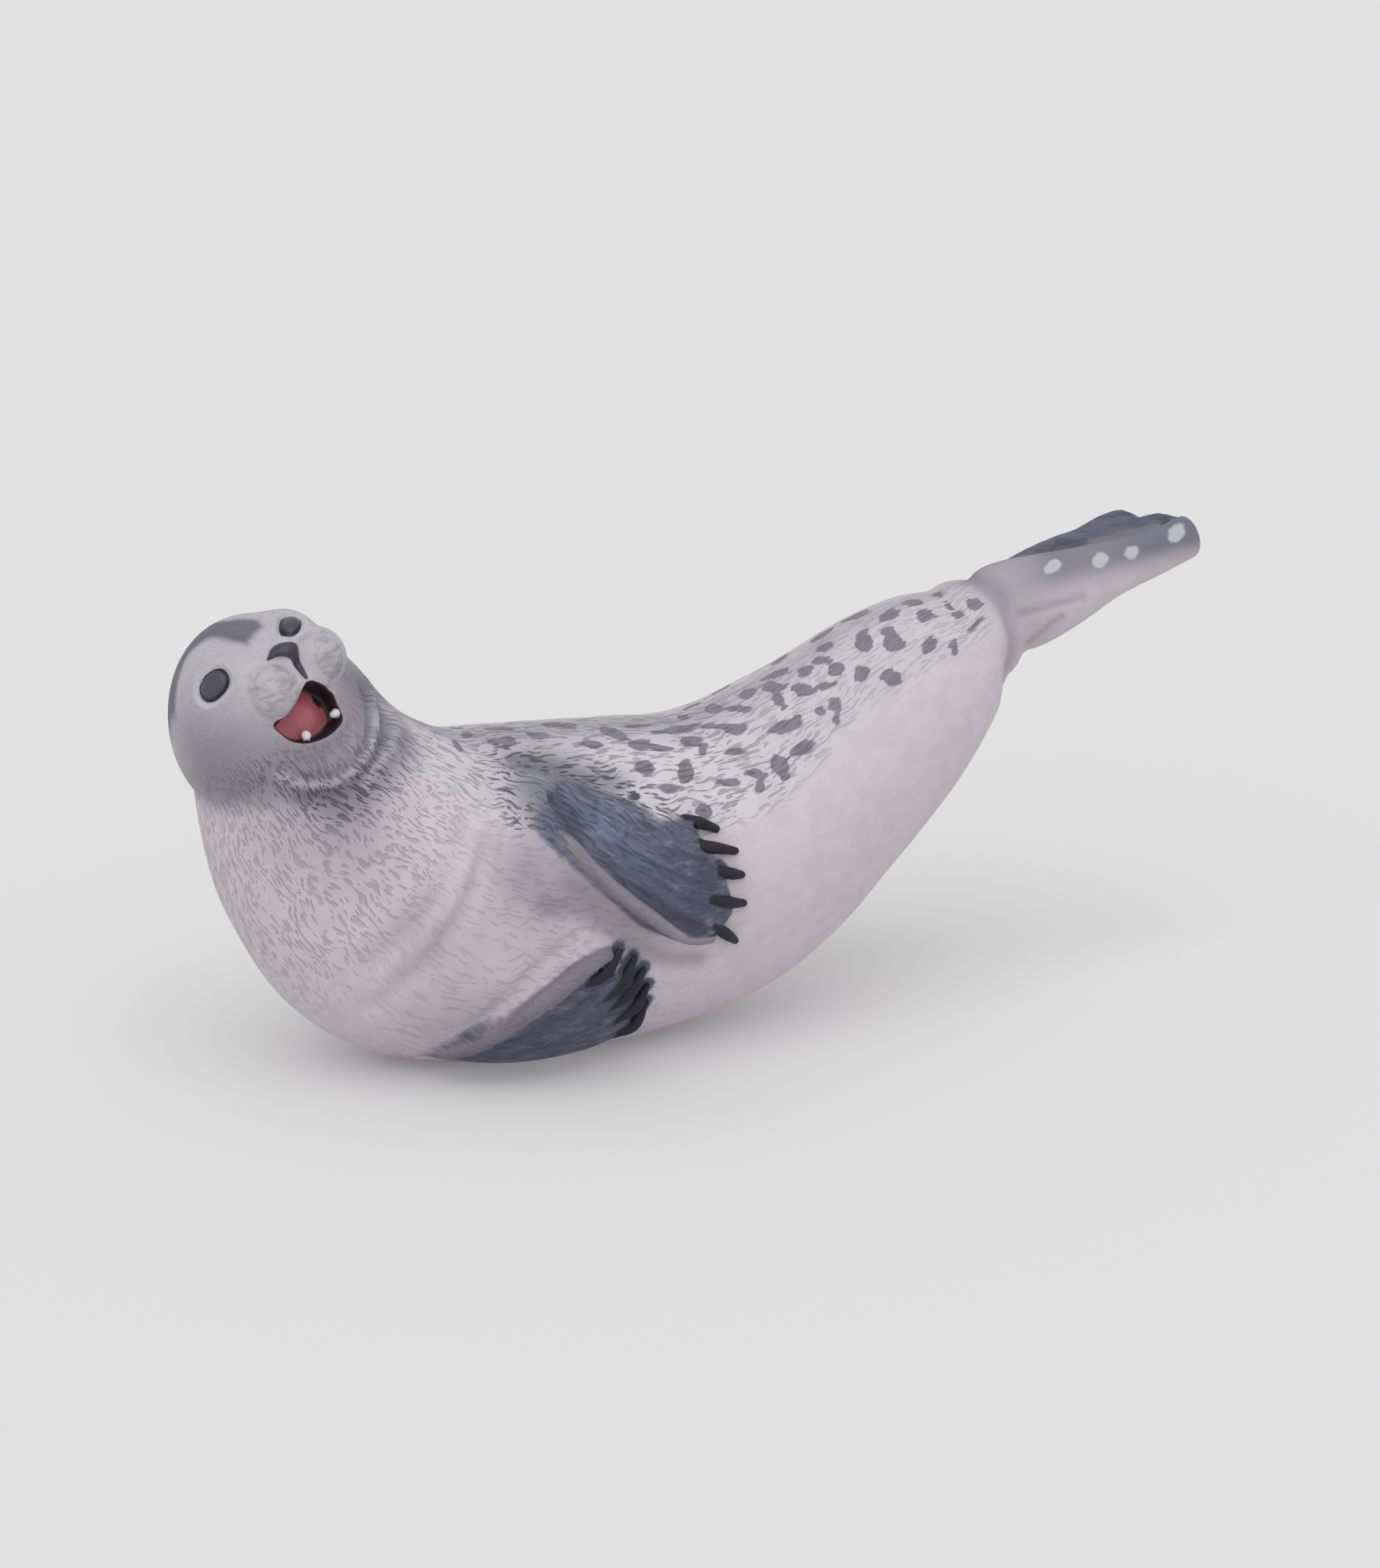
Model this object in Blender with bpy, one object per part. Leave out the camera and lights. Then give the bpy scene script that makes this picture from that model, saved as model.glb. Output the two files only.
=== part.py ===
"""A moulded seal figurine, one solid piece, lying on its side with its head and tail raised.

The animal's skin is one closed surface. It is described as a field of distances, in which round-ended tubes
and ellipsoids flow into each other, and the surface is read from that field. Sizes are in millimetres
and the finished mesh is in metres, +Z up, with the figurine standing on the plane Z = 0.
"""

import math

import bmesh
import bpy
import numpy as np

MM = 0.001

# The body's line from the nape to the rump: X, Y, Z of the line, then the half depth above it, the
# half breadth towards the viewer and the half depth below it.
BODY_LINE = [
    (-37.4, -0.8, 29.6, 7.8, 7.8, 7.1),
    (-34.2, -0.8, 25.6, 9.2, 9.8, 10.2),
    (-30.8, -0.6, 21.8, 10.1, 11.4, 12.9),
    (-26.9, -0.3, 18.6, 10.9, 13.1, 15.4),
    (-22.7, -0.1, 16.2, 12.1, 13.9, 16.3),
    (-18.0, 0.0, 14.7, 12.8, 14.3, 15.7),
    (-13.0, 0.0, 14.0, 13.1, 14.4, 14.7),
    (-8.0, 0.0, 13.9, 13.0, 14.2, 14.4),
    (-2.9, 0.0, 14.6, 12.3, 13.8, 14.2),
    (2.0, 0.0, 15.8, 11.1, 13.2, 13.8),
    (6.7, 0.0, 17.7, 10.2, 12.4, 12.5),
    (11.2, 0.0, 20.2, 9.6, 11.2, 10.9),
    (15.6, 0.0, 23.0, 9.0, 9.8, 9.7),
    (19.8, 0.0, 26.0, 8.4, 8.5, 8.5),
    (24.0, 0.0, 29.1, 6.8, 7.1, 6.5),
    (26.4, 0.0, 30.9, 4.9, 5.8, 4.5),
]

# The head: where its middle is, how far it turns from facing the viewer squarely, lifts and leans, and
# the half sizes of the skull to the side, forwards and upwards.
HEAD_CENTRE = (-38.1, -2.0, 33.2)
HEAD_TURN = 18.0
HEAD_LIFT = 23.3
HEAD_TILT = 17.0
SKULL = (6.6, 7.1, 7.0)

# Parts of the head in its own axes: middle to the left, forwards and upwards, then the half sizes.
MUZZLE = ((0.2, 4.3, 0.2), (4.4, 2.9, 3.2))
BRIDGE = ((2.4, 4.6, 2.9), (2.6, 2.4, 1.9))
BROW = ((3.0, 2.6, 3.3), (2.6, 2.6, 2.4))
PADS = [((-2.45, 5.6, 0.7), (2.35, 2.6, 2.5)), ((3.0, 5.7, 1.0), (2.6, 2.5, 2.6))]
JAW = ((0.7, 2.7, -4.6), (4.4, 3.9, 3.2))
NAPE = ((-32.9, 3.0, 30.7), (5.4, 5.4, 5.4))

# Hind flippers, root to tip: X, Y, Z, half thickness, half width. A web fills the gap between them.
NEAR_HIND = [
    (23.5, -0.6, 29.8, 3.2, 3.7),
    (28.0, -1.0, 33.0, 2.9, 3.8),
    (31.0, -1.3, 33.6, 2.4, 4.0),
    (34.5, -1.7, 34.6, 2.0, 3.4),
    (38.7, -1.8, 35.9, 1.6, 2.5),
    (43.0, -1.7, 37.0, 1.4, 2.1),
    (46.4, -1.3, 37.9, 1.1, 1.9),
]
FAR_HIND = [
    (23.5, 1.0, 28.8, 2.8, 3.0),
    (28.0, 2.0, 30.9, 2.5, 3.3),
    (32.0, 2.7, 33.1, 2.0, 3.1),
    (36.2, 3.1, 35.0, 1.6, 2.7),
    (41.0, 3.2, 36.5, 1.3, 2.1),
    (45.8, 2.4, 37.2, 1.0, 1.7),
]
HIND_WEB = [
    (26.0, 0.4, 30.4, 2.4, 3.0),
    (32.0, 0.7, 33.2, 2.0, 3.2),
    (37.0, 0.8, 35.5, 1.7, 2.5),
    (41.5, 0.8, 37.0, 1.5, 1.7),
    (44.6, 0.7, 37.5, 1.2, 1.3),
]

# Folds of the web that show on top between the hind flippers, root to tip.
WEB_FOLDS = [
    [(31.0, 0.9, 36.1, 0.7, 0.6), (35.5, 1.5, 37.7, 0.9, 0.6), (40.3, 1.7, 38.6, 0.9, 0.6),
     (44.8, 1.3, 38.4, 0.7, 0.5)],
    [(33.0, 2.2, 36.0, 0.8, 0.6), (37.5, 2.6, 37.7, 0.8, 0.6), (41.6, 2.3, 39.2, 0.7, 0.7),
     (44.2, 2.0, 38.0, 0.7, 0.6)],
    [(33.0, -0.2, 36.4, 0.6, 0.5), (38.5, 0.0, 37.7, 0.6, 0.5), (44.0, -0.1, 38.5, 0.5, 0.5)],
    [(43.0, 2.6, 37.9, 0.6, 0.5), (45.2, 2.3, 38.6, 0.7, 0.6), (46.9, 1.5, 38.4, 0.6, 0.5)],
]

# Fore flippers: share of the body's line, angle round it (0 faces the viewer, 90 up), height of the
# middle above the skin, half thickness, half width.
LEFT_PALM = [
    (0.280, 56.0, -1.8, 2.4, 2.2),
    (0.335, 47.0, -0.3, 2.0, 2.9),
    (0.400, 36.0, 0.1, 1.6, 3.6),
    (0.462, 24.5, 0.2, 1.4, 4.4),
    (0.506, 15.0, 0.3, 1.1, 4.9),
    (0.534, 12.0, 0.2, 0.8, 4.7),
    (0.550, 12.5, 0.1, 0.6, 3.8),
]
LEFT_RIDGE = [
    (0.315, 45.0, -0.2, 0.6, 0.5),
    (0.350, 33.0, 0.7, 0.7, 0.5),
    (0.396, 20.0, 1.0, 0.8, 0.5),
    (0.449, 7.0, 1.0, 0.8, 0.5),
    (0.500, -6.0, 0.7, 0.7, 0.5),
    (0.532, -11.0, 0.2, 0.5, 0.4),
]
LEFT_DIGITS = [
    [(0.455, 42.0), (0.505, 36.0), (0.530, 32.0)],
    [(0.460, 34.0), (0.510, 27.0), (0.538, 23.5)],
    [(0.465, 27.0), (0.520, 17.0), (0.558, 12.5)],
    [(0.460, 20.0), (0.510, 9.0), (0.543, 4.0)],
    [(0.455, 12.0), (0.500, 0.0), (0.534, -6.0)],
]
LEFT_CLAWS = [
    [(0.535, 34.0), (0.554, 31.5), (0.574, 28.5)],
    [(0.533, 25.0), (0.561, 21.5), (0.587, 18.0)],
    [(0.557, 13.0), (0.571, 10.5), (0.585, 8.0)],
    [(0.537, 4.5), (0.559, 0.5), (0.578, -3.0)],
    [(0.534, -5.0), (0.549, -10.0), (0.561, -15.5)],
]
RIGHT_PALM = [
    (0.285, -60.0, -1.8, 1.6, 2.0),
    (0.320, -49.0, -0.5, 1.5, 2.9),
    (0.355, -41.0, 0.1, 1.5, 3.7),
    (0.390, -34.0, 0.4, 1.3, 4.2),
    (0.420, -30.5, 0.3, 1.0, 4.1),
    (0.442, -29.0, 0.1, 0.7, 3.5),
]
RIGHT_RIDGE = [
    (0.290, -58.0, -0.6, 0.6, 0.5),
    (0.310, -46.0, 0.6, 0.7, 0.6),
    (0.348, -23.5, 0.9, 0.8, 0.7),
    (0.383, -12.5, 0.8, 0.8, 0.8),
    (0.412, -8.0, 0.4, 0.6, 0.6),
]
RIGHT_DIGITS = [
    [(0.345, -31.0), (0.372, -22.0), (0.392, -16.5)],
    [(0.350, -36.0), (0.382, -28.0), (0.407, -24.0)],
    [(0.355, -40.0), (0.390, -34.0), (0.418, -29.0)],
    [(0.358, -44.0), (0.395, -39.0), (0.428, -35.0)],
    [(0.358, -48.0), (0.395, -47.0), (0.436, -43.0)],
]
RIGHT_CLAWS = [
    [(0.392, -17.0), (0.412, -13.5), (0.430, -6.5)],
    [(0.407, -24.0), (0.431, -19.0), (0.446, -10.5)],
    [(0.419, -28.5), (0.442, -22.5), (0.458, -15.5)],
    [(0.430, -35.0), (0.451, -29.5), (0.463, -23.0)],
    [(0.440, -43.0), (0.456, -39.0), (0.465, -31.0)],
]
DIGIT_SIZE = (0.35, 0.9, 0.75)
LEFT_CLAW_SIZE = (0.46, 0.50, 0.32)
RIGHT_CLAW_SIZE = (0.34, 0.55, 0.24)
CLAW_LIFT = (0.85, 0.75, 0.2)

# Grooves on the flippers: share, angle and height along each one, then its depth and half width.
FLIPPER_FOLDS = [
    ([(0.335, 44.0, 1.4), (0.372, 31.5, 1.7), (0.415, 19.0, 1.7), (0.465, 7.0, 1.5), (0.515, -4.0, 1.1)],
     0.50, 0.60),
    ([(0.400, 41.0, 1.4), (0.470, 33.0, 1.3), (0.535, 29.5, 0.9)], 0.16, 0.30),
    ([(0.400, 36.0, 1.7), (0.470, 26.0, 1.6), (0.545, 17.5, 0.9)], 0.18, 0.32),
    ([(0.410, 31.0, 1.7), (0.480, 18.5, 1.5), (0.545, 7.5, 0.9)], 0.18, 0.32),
    ([(0.430, 24.0, 1.7), (0.485, 11.0, 1.5), (0.535, 0.0, 0.9)], 0.16, 0.30),
    ([(0.330, -41.0, 1.4), (0.370, -30.0, 1.7), (0.400, -21.0, 1.4)], 0.25, 0.40),
    ([(0.345, -45.0, 1.4), (0.385, -37.0, 1.7), (0.425, -30.0, 1.2)], 0.16, 0.32),
]

# Folds of the skin on the chest and under the flippers: share and angle along each fold, then how deep
# it is carved, or raised where the depth is below zero, and its half width.
BODY_FOLDS = [
    ([(0.230, 26.0), (0.231, 15.0), (0.235, -6.0), (0.233, -16.0), (0.229, -33.0), (0.222, -50.0)],
     0.55, 0.75),
    ([(0.212, 20.0), (0.216, 6.0), (0.217, -10.0), (0.212, -26.0)], -0.40, 0.95),
    ([(0.197, 36.0), (0.200, 25.0), (0.203, 0.0), (0.197, -16.0), (0.194, -32.0)], 0.38, 0.75),
    ([(0.165, 24.0), (0.172, 4.0), (0.172, -18.0), (0.166, -36.0)], -0.20, 1.10),
    ([(0.236, 56.0), (0.235, 50.0), (0.237, 40.0), (0.240, 30.0)], 0.35, 0.45),
    ([(0.252, 60.0), (0.248, 48.0), (0.248, 36.0)], -0.30, 0.50),
    ([(0.272, 66.0), (0.266, 54.0), (0.259, 40.0)], 0.35, 0.45),
    ([(0.261, 36.0), (0.258, 24.0), (0.270, 15.0), (0.297, 7.0)], 0.50, 0.60),
    ([(0.285, -72.0), (0.295, -56.0), (0.309, -34.0), (0.337, -15.0), (0.372, -3.0)], 0.45, 0.55),
    ([(0.335, 8.0), (0.385, 6.0), (0.430, -3.0), (0.480, -14.0), (0.520, -19.0)], 0.45, 0.90),
]

# Folds of the chin, the throat and the nose, in the head's own axes.
HEAD_FOLDS = [
    ([(7.4, 3.0, -3.9), (5.5, 5.0, -5.2), (3.0, 6.0, -6.9), (0.7, 6.0, -7.9), (-1.5, 5.4, -7.7),
      (-3.2, 4.6, -6.5)], 0.45, 0.50),
    ([(9.0, 1.0, -2.3), (9.1, 1.6, -3.7), (7.8, 3.2, -4.8), (6.1, 4.8, -5.8), (4.3, 5.8, -6.8),
      (2.7, 6.1, -7.8), (0.0, 5.9, -8.5), (-2.4, 5.0, -7.8), (-4.1, 3.8, -5.6)], -0.45, 0.38),
    ([(7.1, 4.2, -5.9), (5.2, 5.8, -7.5), (2.7, 6.5, -8.5), (0.1, 6.5, -9.3), (-1.9, 5.8, -9.0),
      (-3.9, 4.2, -8.0)], 0.40, 0.60),
    ([(8.9, 3.3, -6.7), (6.3, 5.7, -8.0), (3.0, 6.7, -9.0), (0.8, 6.8, -9.7)], -0.35, 0.40),
    ([(-1.9, 6.8, 3.3), (-2.9, 6.6, 3.1), (-3.9, 6.4, 2.6), (-4.5, 6.4, 1.6), (-4.6, 6.2, 0.2),
      (-4.1, 6.1, -1.2), (-3.2, 6.2, -2.0)], 0.50, 0.42),
    ([(1.7, 7.2, 2.8), (3.0, 7.7, 2.8), (4.2, 7.4, 2.0), (4.5, 7.4, 0.8), (4.1, 7.6, -0.3),
      (3.2, 7.5, -1.1), (2.2, 7.3, -1.5)], 0.50, 0.36),
    ([(-1.8, 5.6, 4.2), (-0.7, 5.9, 4.5), (1.6, 6.9, 3.6), (3.6, 6.9, 2.6)], -0.18, 0.35),
]

# The crease where the hind flippers leave the rump and the grooves on them: X, Y, Z along each one.
HIND_FOLDS = [
    ([(26.0, 1.4, 35.6), (26.3, -0.2, 35.7), (27.2, -2.2, 35.4), (28.0, -3.4, 34.5), (28.3, -4.6, 33.1),
      (28.4, -5.3, 31.3), (28.0, -5.0, 29.0), (27.6, -3.4, 27.0)], 0.55, 0.80),
    ([(32.8, 0.8, 38.2), (35.6, 0.0, 38.6), (38.0, -0.6, 38.8), (41.2, -0.9, 39.3), (44.4, -0.9, 39.7)],
     0.45, 0.40),
    ([(34.5, 1.9, 39.0), (36.3, 2.0, 39.5), (38.0, 2.0, 39.6), (41.1, 1.9, 39.9), (44.6, 1.7, 39.9)],
     0.40, 0.35),
    ([(30.6, -3.7, 30.6), (32.4, -3.7, 32.1), (33.4, -3.8, 32.7)], 0.20, 0.35),
    ([(29.4, -3.8, 33.5), (32.0, -3.8, 33.8), (35.4, -3.7, 34.3)], 0.20, 0.35),
]

# How widely one form runs into the next.
NAPE_BLEND = 3.0
HEAD_BLEND = 2.8
MUZZLE_BLEND = 1.6
BRIDGE_BLEND = 1.0
PAD_BLEND = 0.3
JAW_BLEND = 0.9
HIND_BLEND = 0.7
WEB_BLEND = 0.4
PALM_BLEND = 1.1
RIDGE_BLEND = 0.5
DIGIT_BLEND = 0.4
CLAW_BLEND = 0.12
MOUTH_BLEND = 0.35

# How far the eyes, their lids, the nose and the lips stand out, and how deep their grooves are.
EYE_BULGE = 0.26
EYE_GROOVE = 0.20
LID_RISE = 0.12
NOSE_RISE = 0.55
PHILTRUM_DEPTH = 0.45
LIP_RISE = 0.12

# The face, in the head's own axes: the middle of each eye with its half width, half height and lean, then
# outlines to the left and upwards.
EYES = [((-5.2, 3.15, 3.4), (1.2, 1.5), 73.0), ((2.56, 6.35, 4.21), (0.85, 1.75), 65.0)]
MOUTH = [
    (0.1, 0.1), (1.1, -0.8), (2.0, -1.9), (2.0, -3.4), (1.8, -4.3), (-0.1, -4.7), (-1.9, -4.4),
    (-3.1, -3.4), (-3.8, -1.7), (-2.8, -1.5), (-1.6, -0.9),
]
MOUTH_FLOOR = 5.0
TONGUE = ((-0.4, -2.4), (1.7, 2.0), 0.9)
NOSE = [
    (-1.8, 3.0), (-1.1, 3.6), (-0.2, 3.8), (1.1, 3.3), (0.75, 2.0), (0.45, 0.2), (0.05, 0.1), (-0.05, 1.4),
    (-0.1, 2.3), (-0.9, 2.95),
]

GRID_STEP = 0.4
GRID_LOW = (-50.0, -19.0, -3.0)
GRID_HIGH = (52.0, 19.0, 46.0)
TRIANGLES = 11000


def unit(vectors):
    """Vectors at length one."""
    vectors = np.asarray(vectors, float)
    return vectors / np.linalg.norm(vectors, axis=-1, keepdims=True)


def smooth_rows(rows, count):
    """Rows read from a smooth curve that passes through every given row."""
    rows = np.asarray(rows, float)
    padded = np.concatenate([[2 * rows[0] - rows[1]], rows, [2 * rows[-1] - rows[-2]]])
    place = np.linspace(0, len(rows) - 1, count)
    i = np.minimum(place.astype(int), len(rows) - 2)
    t = (place - i)[:, None]
    a, b, c, d = (padded[i + k] for k in range(4))
    return 0.5 * (2 * b + (c - a) * t + (2 * a - 5 * b + 4 * c - d) * t**2 + (3 * b - a - 3 * c + d) * t**3)


def even_rows(rows, count):
    """Smooth rows set at even distances along the line that their first three numbers describe."""
    fine = smooth_rows(rows, 400)
    walked = np.concatenate([[0.0], np.cumsum(np.linalg.norm(np.diff(fine[:, :3], axis=0), axis=1))])
    wanted = np.linspace(0.0, walked[-1], count)
    return np.column_stack([np.interp(wanted, walked, column) for column in fine.T])


def ellipsoid_gap(offset, radii):
    """Distance to an ellipsoid's skin of points given from its middle, along its own axes."""
    radii = np.asarray(radii, float)
    k0 = np.sqrt(((offset / radii) ** 2).sum(-1)) + 1e-9
    k1 = np.sqrt(((offset / radii**2) ** 2).sum(-1)) + 1e-9
    return np.maximum(k0 * (k0 - 1.0) / k1, -radii.min(-1))


def smooth_union(a, b, blend):
    """The nearer of two distances, with a fillet of about the blend size where the forms meet."""
    h = np.clip(0.5 + 0.5 * (b - a) / blend, 0.0, 1.0)
    return b + (a - b) * h - blend * h * (1.0 - h)


def smooth_cut(a, b, blend):
    """Form a with form b taken out of it, the edge rounded by about the blend size."""
    return -smooth_union(-a, b, blend)


class Tube:
    """A round-ended tube with an elliptical section that changes along a smooth line."""

    def __init__(self, rows, outward, count=60):
        """Rows hold a centre, a half thickness along outward, a half width across it and, where it
        differs, the half thickness on the other side."""
        rows = [row if len(row) == 6 else (*row, row[3]) for row in rows]
        outward = np.broadcast_to(np.asarray(outward, float), (len(rows), 3))
        rows = even_rows(np.column_stack([rows, outward]), count)
        self.centres = rows[:, :3]
        self.radii = rows[:, 3:6]
        self.along = unit(np.gradient(self.centres, axis=0))
        self.across = unit(np.cross(self.along, rows[:, 6:9]))
        self.outward = np.cross(self.across, self.along)
        self.last = count - 1
        self.middle = (self.centres.min(0) + self.centres.max(0)) / 2
        self.reach = np.linalg.norm(self.centres - self.middle, axis=1).max() + self.radii.max() + 5.0

    def place(self, points):
        """Where along the line each point is, as a sample number with its fraction."""
        reach = (self.centres**2).sum(1)
        nearest = np.concatenate([
            (reach - 2.0 * some @ self.centres.T).argmin(1)
            for some in np.array_split(points, len(points) // 50000 + 1)
        ])
        ahead = ((points - self.centres[nearest]) * self.along[nearest]).sum(1)
        start = np.clip(np.where(ahead > 0, nearest, nearest - 1), 0, self.last - 1)
        before = ((points - self.centres[start]) * self.along[start]).sum(1)
        after = ((points - self.centres[start + 1]) * self.along[start + 1]).sum(1)
        return start + np.clip(before / np.maximum(before - after, 1e-6), 0.0, 1.0)

    def section(self, place):
        """Centre, outward, across and along directions, and radii at a place on the line."""
        i = np.minimum(np.asarray(place).astype(int), len(self.centres) - 2)
        t = (place - i)[..., None]
        rows = (self.centres, self.outward, self.across, self.along, self.radii)
        return [values[i] * (1 - t) + values[i + 1] * t for values in rows]

    def gap(self, points):
        """Distance from each point to the tube's skin."""
        centre, outward, across, along, radii = self.section(self.place(points))
        offset = points - centre
        local = np.stack([(offset * axis).sum(1) for axis in (outward, across, along)], axis=1)
        thick = np.where(local[:, 0] > 0, radii[:, 0], radii[:, 2])
        return ellipsoid_gap(local, np.column_stack([thick, radii[:, 1], radii.min(1)]))

    def skin_point(self, share, angle, height=0.0):
        """A point at that share of the line and angle round it, that far above the skin, and the way out."""
        centre, outward, across, _, radii = self.section(np.asarray(share * self.last))
        c, s = math.cos(math.radians(angle)), math.sin(math.radians(angle))
        thick = radii[0] if s > 0 else radii[2]
        way = unit(outward * s / thick + across * c / radii[1])
        return centre + outward * s * thick + across * c * radii[1] + way * height, way


class Fold:
    """A line on the skin along which it is carved or raised."""

    def __init__(self, points, depth, half_width):
        self.centres = even_rows(points, 14)
        self.depth, self.half_width = depth, half_width
        self.middle = (self.centres.min(0) + self.centres.max(0)) / 2
        self.reach = np.linalg.norm(self.centres - self.middle, axis=1).max() + 3.0 * half_width

    def carve(self, points):
        """How far the skin is moved inwards at each point."""
        best = np.full(len(points), np.inf)
        for start, end in zip(self.centres[:-1], self.centres[1:]):
            step = end - start
            offset = points - start
            share = np.clip(offset @ step / (step @ step), 0.0, 1.0)
            best = np.minimum(best, ((offset - share[:, None] * step) ** 2).sum(1))
        return self.depth * np.exp(-best / self.half_width**2)


def head_axes():
    """The head's own axes as rows: towards its left, forwards and upwards."""
    turn, lift, tilt = (math.radians(a) for a in (HEAD_TURN, HEAD_LIFT, HEAD_TILT))
    forward = np.array([math.sin(turn) * math.cos(lift), -math.cos(turn) * math.cos(lift), math.sin(lift)])
    level_left = np.array([math.cos(turn), math.sin(turn), 0.0])
    level_up = np.cross(forward, level_left)
    left = level_left * math.cos(tilt) + level_up * math.sin(tilt)
    return np.array([left, forward, np.cross(forward, left)])


def lying_tube(rows):
    """A flattened tube that lies on the body's skin."""
    found = [BODY.skin_point(share, angle, height) for share, angle, height, _, _ in rows]
    sizes = [row[3:] for row in rows]
    return Tube([(*point, *size) for (point, _), size in zip(found, sizes)], [way for _, way in found], 30)


def lying_digit(places):
    """A bone of a flipper, from inside the palm to the root of its claw."""
    low, mid, end = DIGIT_SIZE
    sizes = ((0.1, mid), (low + 0.1, mid), (low, end))
    return lying_tube([(*place, lift, size, size) for place, (lift, size) in zip(places, sizes)])


def lying_claw(places, sizes):
    """A claw that tapers to its tip, with its back raised off the skin."""
    return lying_tube([(*place, lift, size, size) for place, lift, size in zip(places, CLAW_LIFT, sizes)])


BODY = Tube(BODY_LINE, (0.0, 0.0, 1.0))
HEAD_AXES = head_axes()
HIND_FACE = (0.0, -1.0, 0.25)
HIND = [Tube(rows, HIND_FACE, 30) for rows in (NEAR_HIND, FAR_HIND, HIND_WEB)]
WEBS = [Tube(rows, HIND_FACE, 20) for rows in WEB_FOLDS]
PALMS = [lying_tube(rows) for rows in (LEFT_PALM, RIGHT_PALM)]
RIDGES = [lying_tube(rows) for rows in (LEFT_RIDGE, RIGHT_RIDGE)]
DIGITS = [lying_digit(places) for places in LEFT_DIGITS + RIGHT_DIGITS]
CLAWS = [lying_claw(places, LEFT_CLAW_SIZE) for places in LEFT_CLAWS]
CLAWS += [lying_claw(places, RIGHT_CLAW_SIZE) for places in RIGHT_CLAWS]


def in_head(points):
    """Points in the head's own axes, measured from its middle."""
    return (points - np.array(HEAD_CENTRE)) @ HEAD_AXES.T


def outline_gap(points, corners):
    """Distance in a plane to an outline of straight sides, below zero inside it."""
    best = np.full(len(points), np.inf)
    inside = np.zeros(len(points), bool)
    for (ax, ay), (bx, by) in zip(corners, corners[1:] + corners[:1]):
        x, y, ex, ey = points[:, 0] - ax, points[:, 1] - ay, bx - ax, by - ay
        share = np.clip((x * ex + y * ey) / (ex * ex + ey * ey), 0.0, 1.0)
        best = np.minimum(best, (x - share * ex) ** 2 + (y - share * ey) ** 2)
        crossed = (y >= 0) != (y >= ey)
        inside ^= crossed & (x < y * ex / (ey if ey else 1e-9))
    return np.where(inside, -1.0, 1.0) * np.sqrt(best)


def head_gap(points):
    """Distance to the head before its eyes, nose and mouth are added."""
    p = in_head(points)
    head = ellipsoid_gap(p, SKULL)
    head = smooth_union(head, ellipsoid_gap(p - MUZZLE[0], MUZZLE[1]), MUZZLE_BLEND)
    for middle, radii in (BRIDGE, BROW):
        head = smooth_union(head, ellipsoid_gap(p - middle, radii), BRIDGE_BLEND)
    for middle, radii in PADS:
        head = smooth_union(head, ellipsoid_gap(p - middle, radii), PAD_BLEND)
    return smooth_union(head, ellipsoid_gap(p - JAW[0], JAW[1]), JAW_BLEND)


def add_near(skin, points, gap, middle, reach, blend):
    """The skin joined with a small form, which is worked out only near it."""
    near = np.flatnonzero(((points - np.array(middle)) ** 2).sum(1) < reach**2)
    if len(near):
        skin[near] = smooth_union(skin[near], gap(points[near]), blend)
    return skin


def bare_form(points):
    """Distance to the skin without flippers, folds or face."""
    skin = BODY.gap(points)
    skin = smooth_union(skin, ellipsoid_gap(points - NAPE[0], NAPE[1]), NAPE_BLEND)
    skin = add_near(skin, points, head_gap, HEAD_CENTRE, 3.0 * max(SKULL), HEAD_BLEND)
    for tube in HIND:
        skin = add_near(skin, points, tube.gap, tube.middle, tube.reach, HIND_BLEND)
    return joined(skin, points, WEBS, WEB_BLEND)


def eye_gap(p, middle, size, lean):
    """Distance from head points to an eye's edge, below zero on the eye."""
    way = unit(middle)
    side = unit(np.cross(way, (0.0, 0.0, 1.0)))
    c, s = math.cos(math.radians(lean)), math.sin(math.radians(lean))
    wide, high = p @ side, p @ np.cross(side, way)
    wide, high = (wide * c - high * s) / size[0], (wide * s + high * c) / size[1]
    edge = (np.abs(wide) ** 2.3 + np.abs(high) ** 2.3) ** (1 / 2.3) - 1.0
    return np.where(p @ way > 0, edge, 9.0) * min(size)


def add_face(skin, p):
    """The skin near the head with the eyes, the nose and the open mouth."""
    for eye in EYES:
        edge = eye_gap(p, *eye)
        dome = np.sqrt(np.clip(-edge, 0.0, None) / min(eye[1]))
        lid = np.exp(-(((edge - 0.6) / 0.4) ** 2))
        skin = skin + EYE_GROOVE * np.exp(-((edge / 0.22) ** 2)) - EYE_BULGE * dome - LID_RISE * lid
    front = np.clip(p[:, 1] - 3.0, 0.0, 1.0)
    nose = outline_gap(p[:, ::2], NOSE)
    tip = np.clip((p[:, 2] - 1.6) / 1.0, 0.0, 1.0)
    lift = NOSE_RISE * tip - PHILTRUM_DEPTH * (1.0 - tip)
    skin = skin - front * lift * np.clip(0.5 - nose / 0.6, 0.0, 1.0)
    outline = outline_gap(p[:, ::2], MOUTH)
    middle, size, height = TONGUE
    across, up = (p[:, 0] - middle[0]) / size[0], (p[:, 2] - middle[1]) / size[1]
    tongue = height * np.exp(-(across**2) - up**2)
    skin = smooth_cut(skin, -smooth_union(-outline, p[:, 1] - MOUTH_FLOOR - tongue, 0.7), MOUTH_BLEND)
    return skin - LIP_RISE * front * np.exp(-(((outline - 0.35) / 0.35) ** 2))


def joined(skin, points, tubes, blend):
    """The skin joined with tubes that are small beside it."""
    for tube in tubes:
        skin = add_near(skin, points, tube.gap, tube.middle, tube.reach, blend)
    return skin


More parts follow.
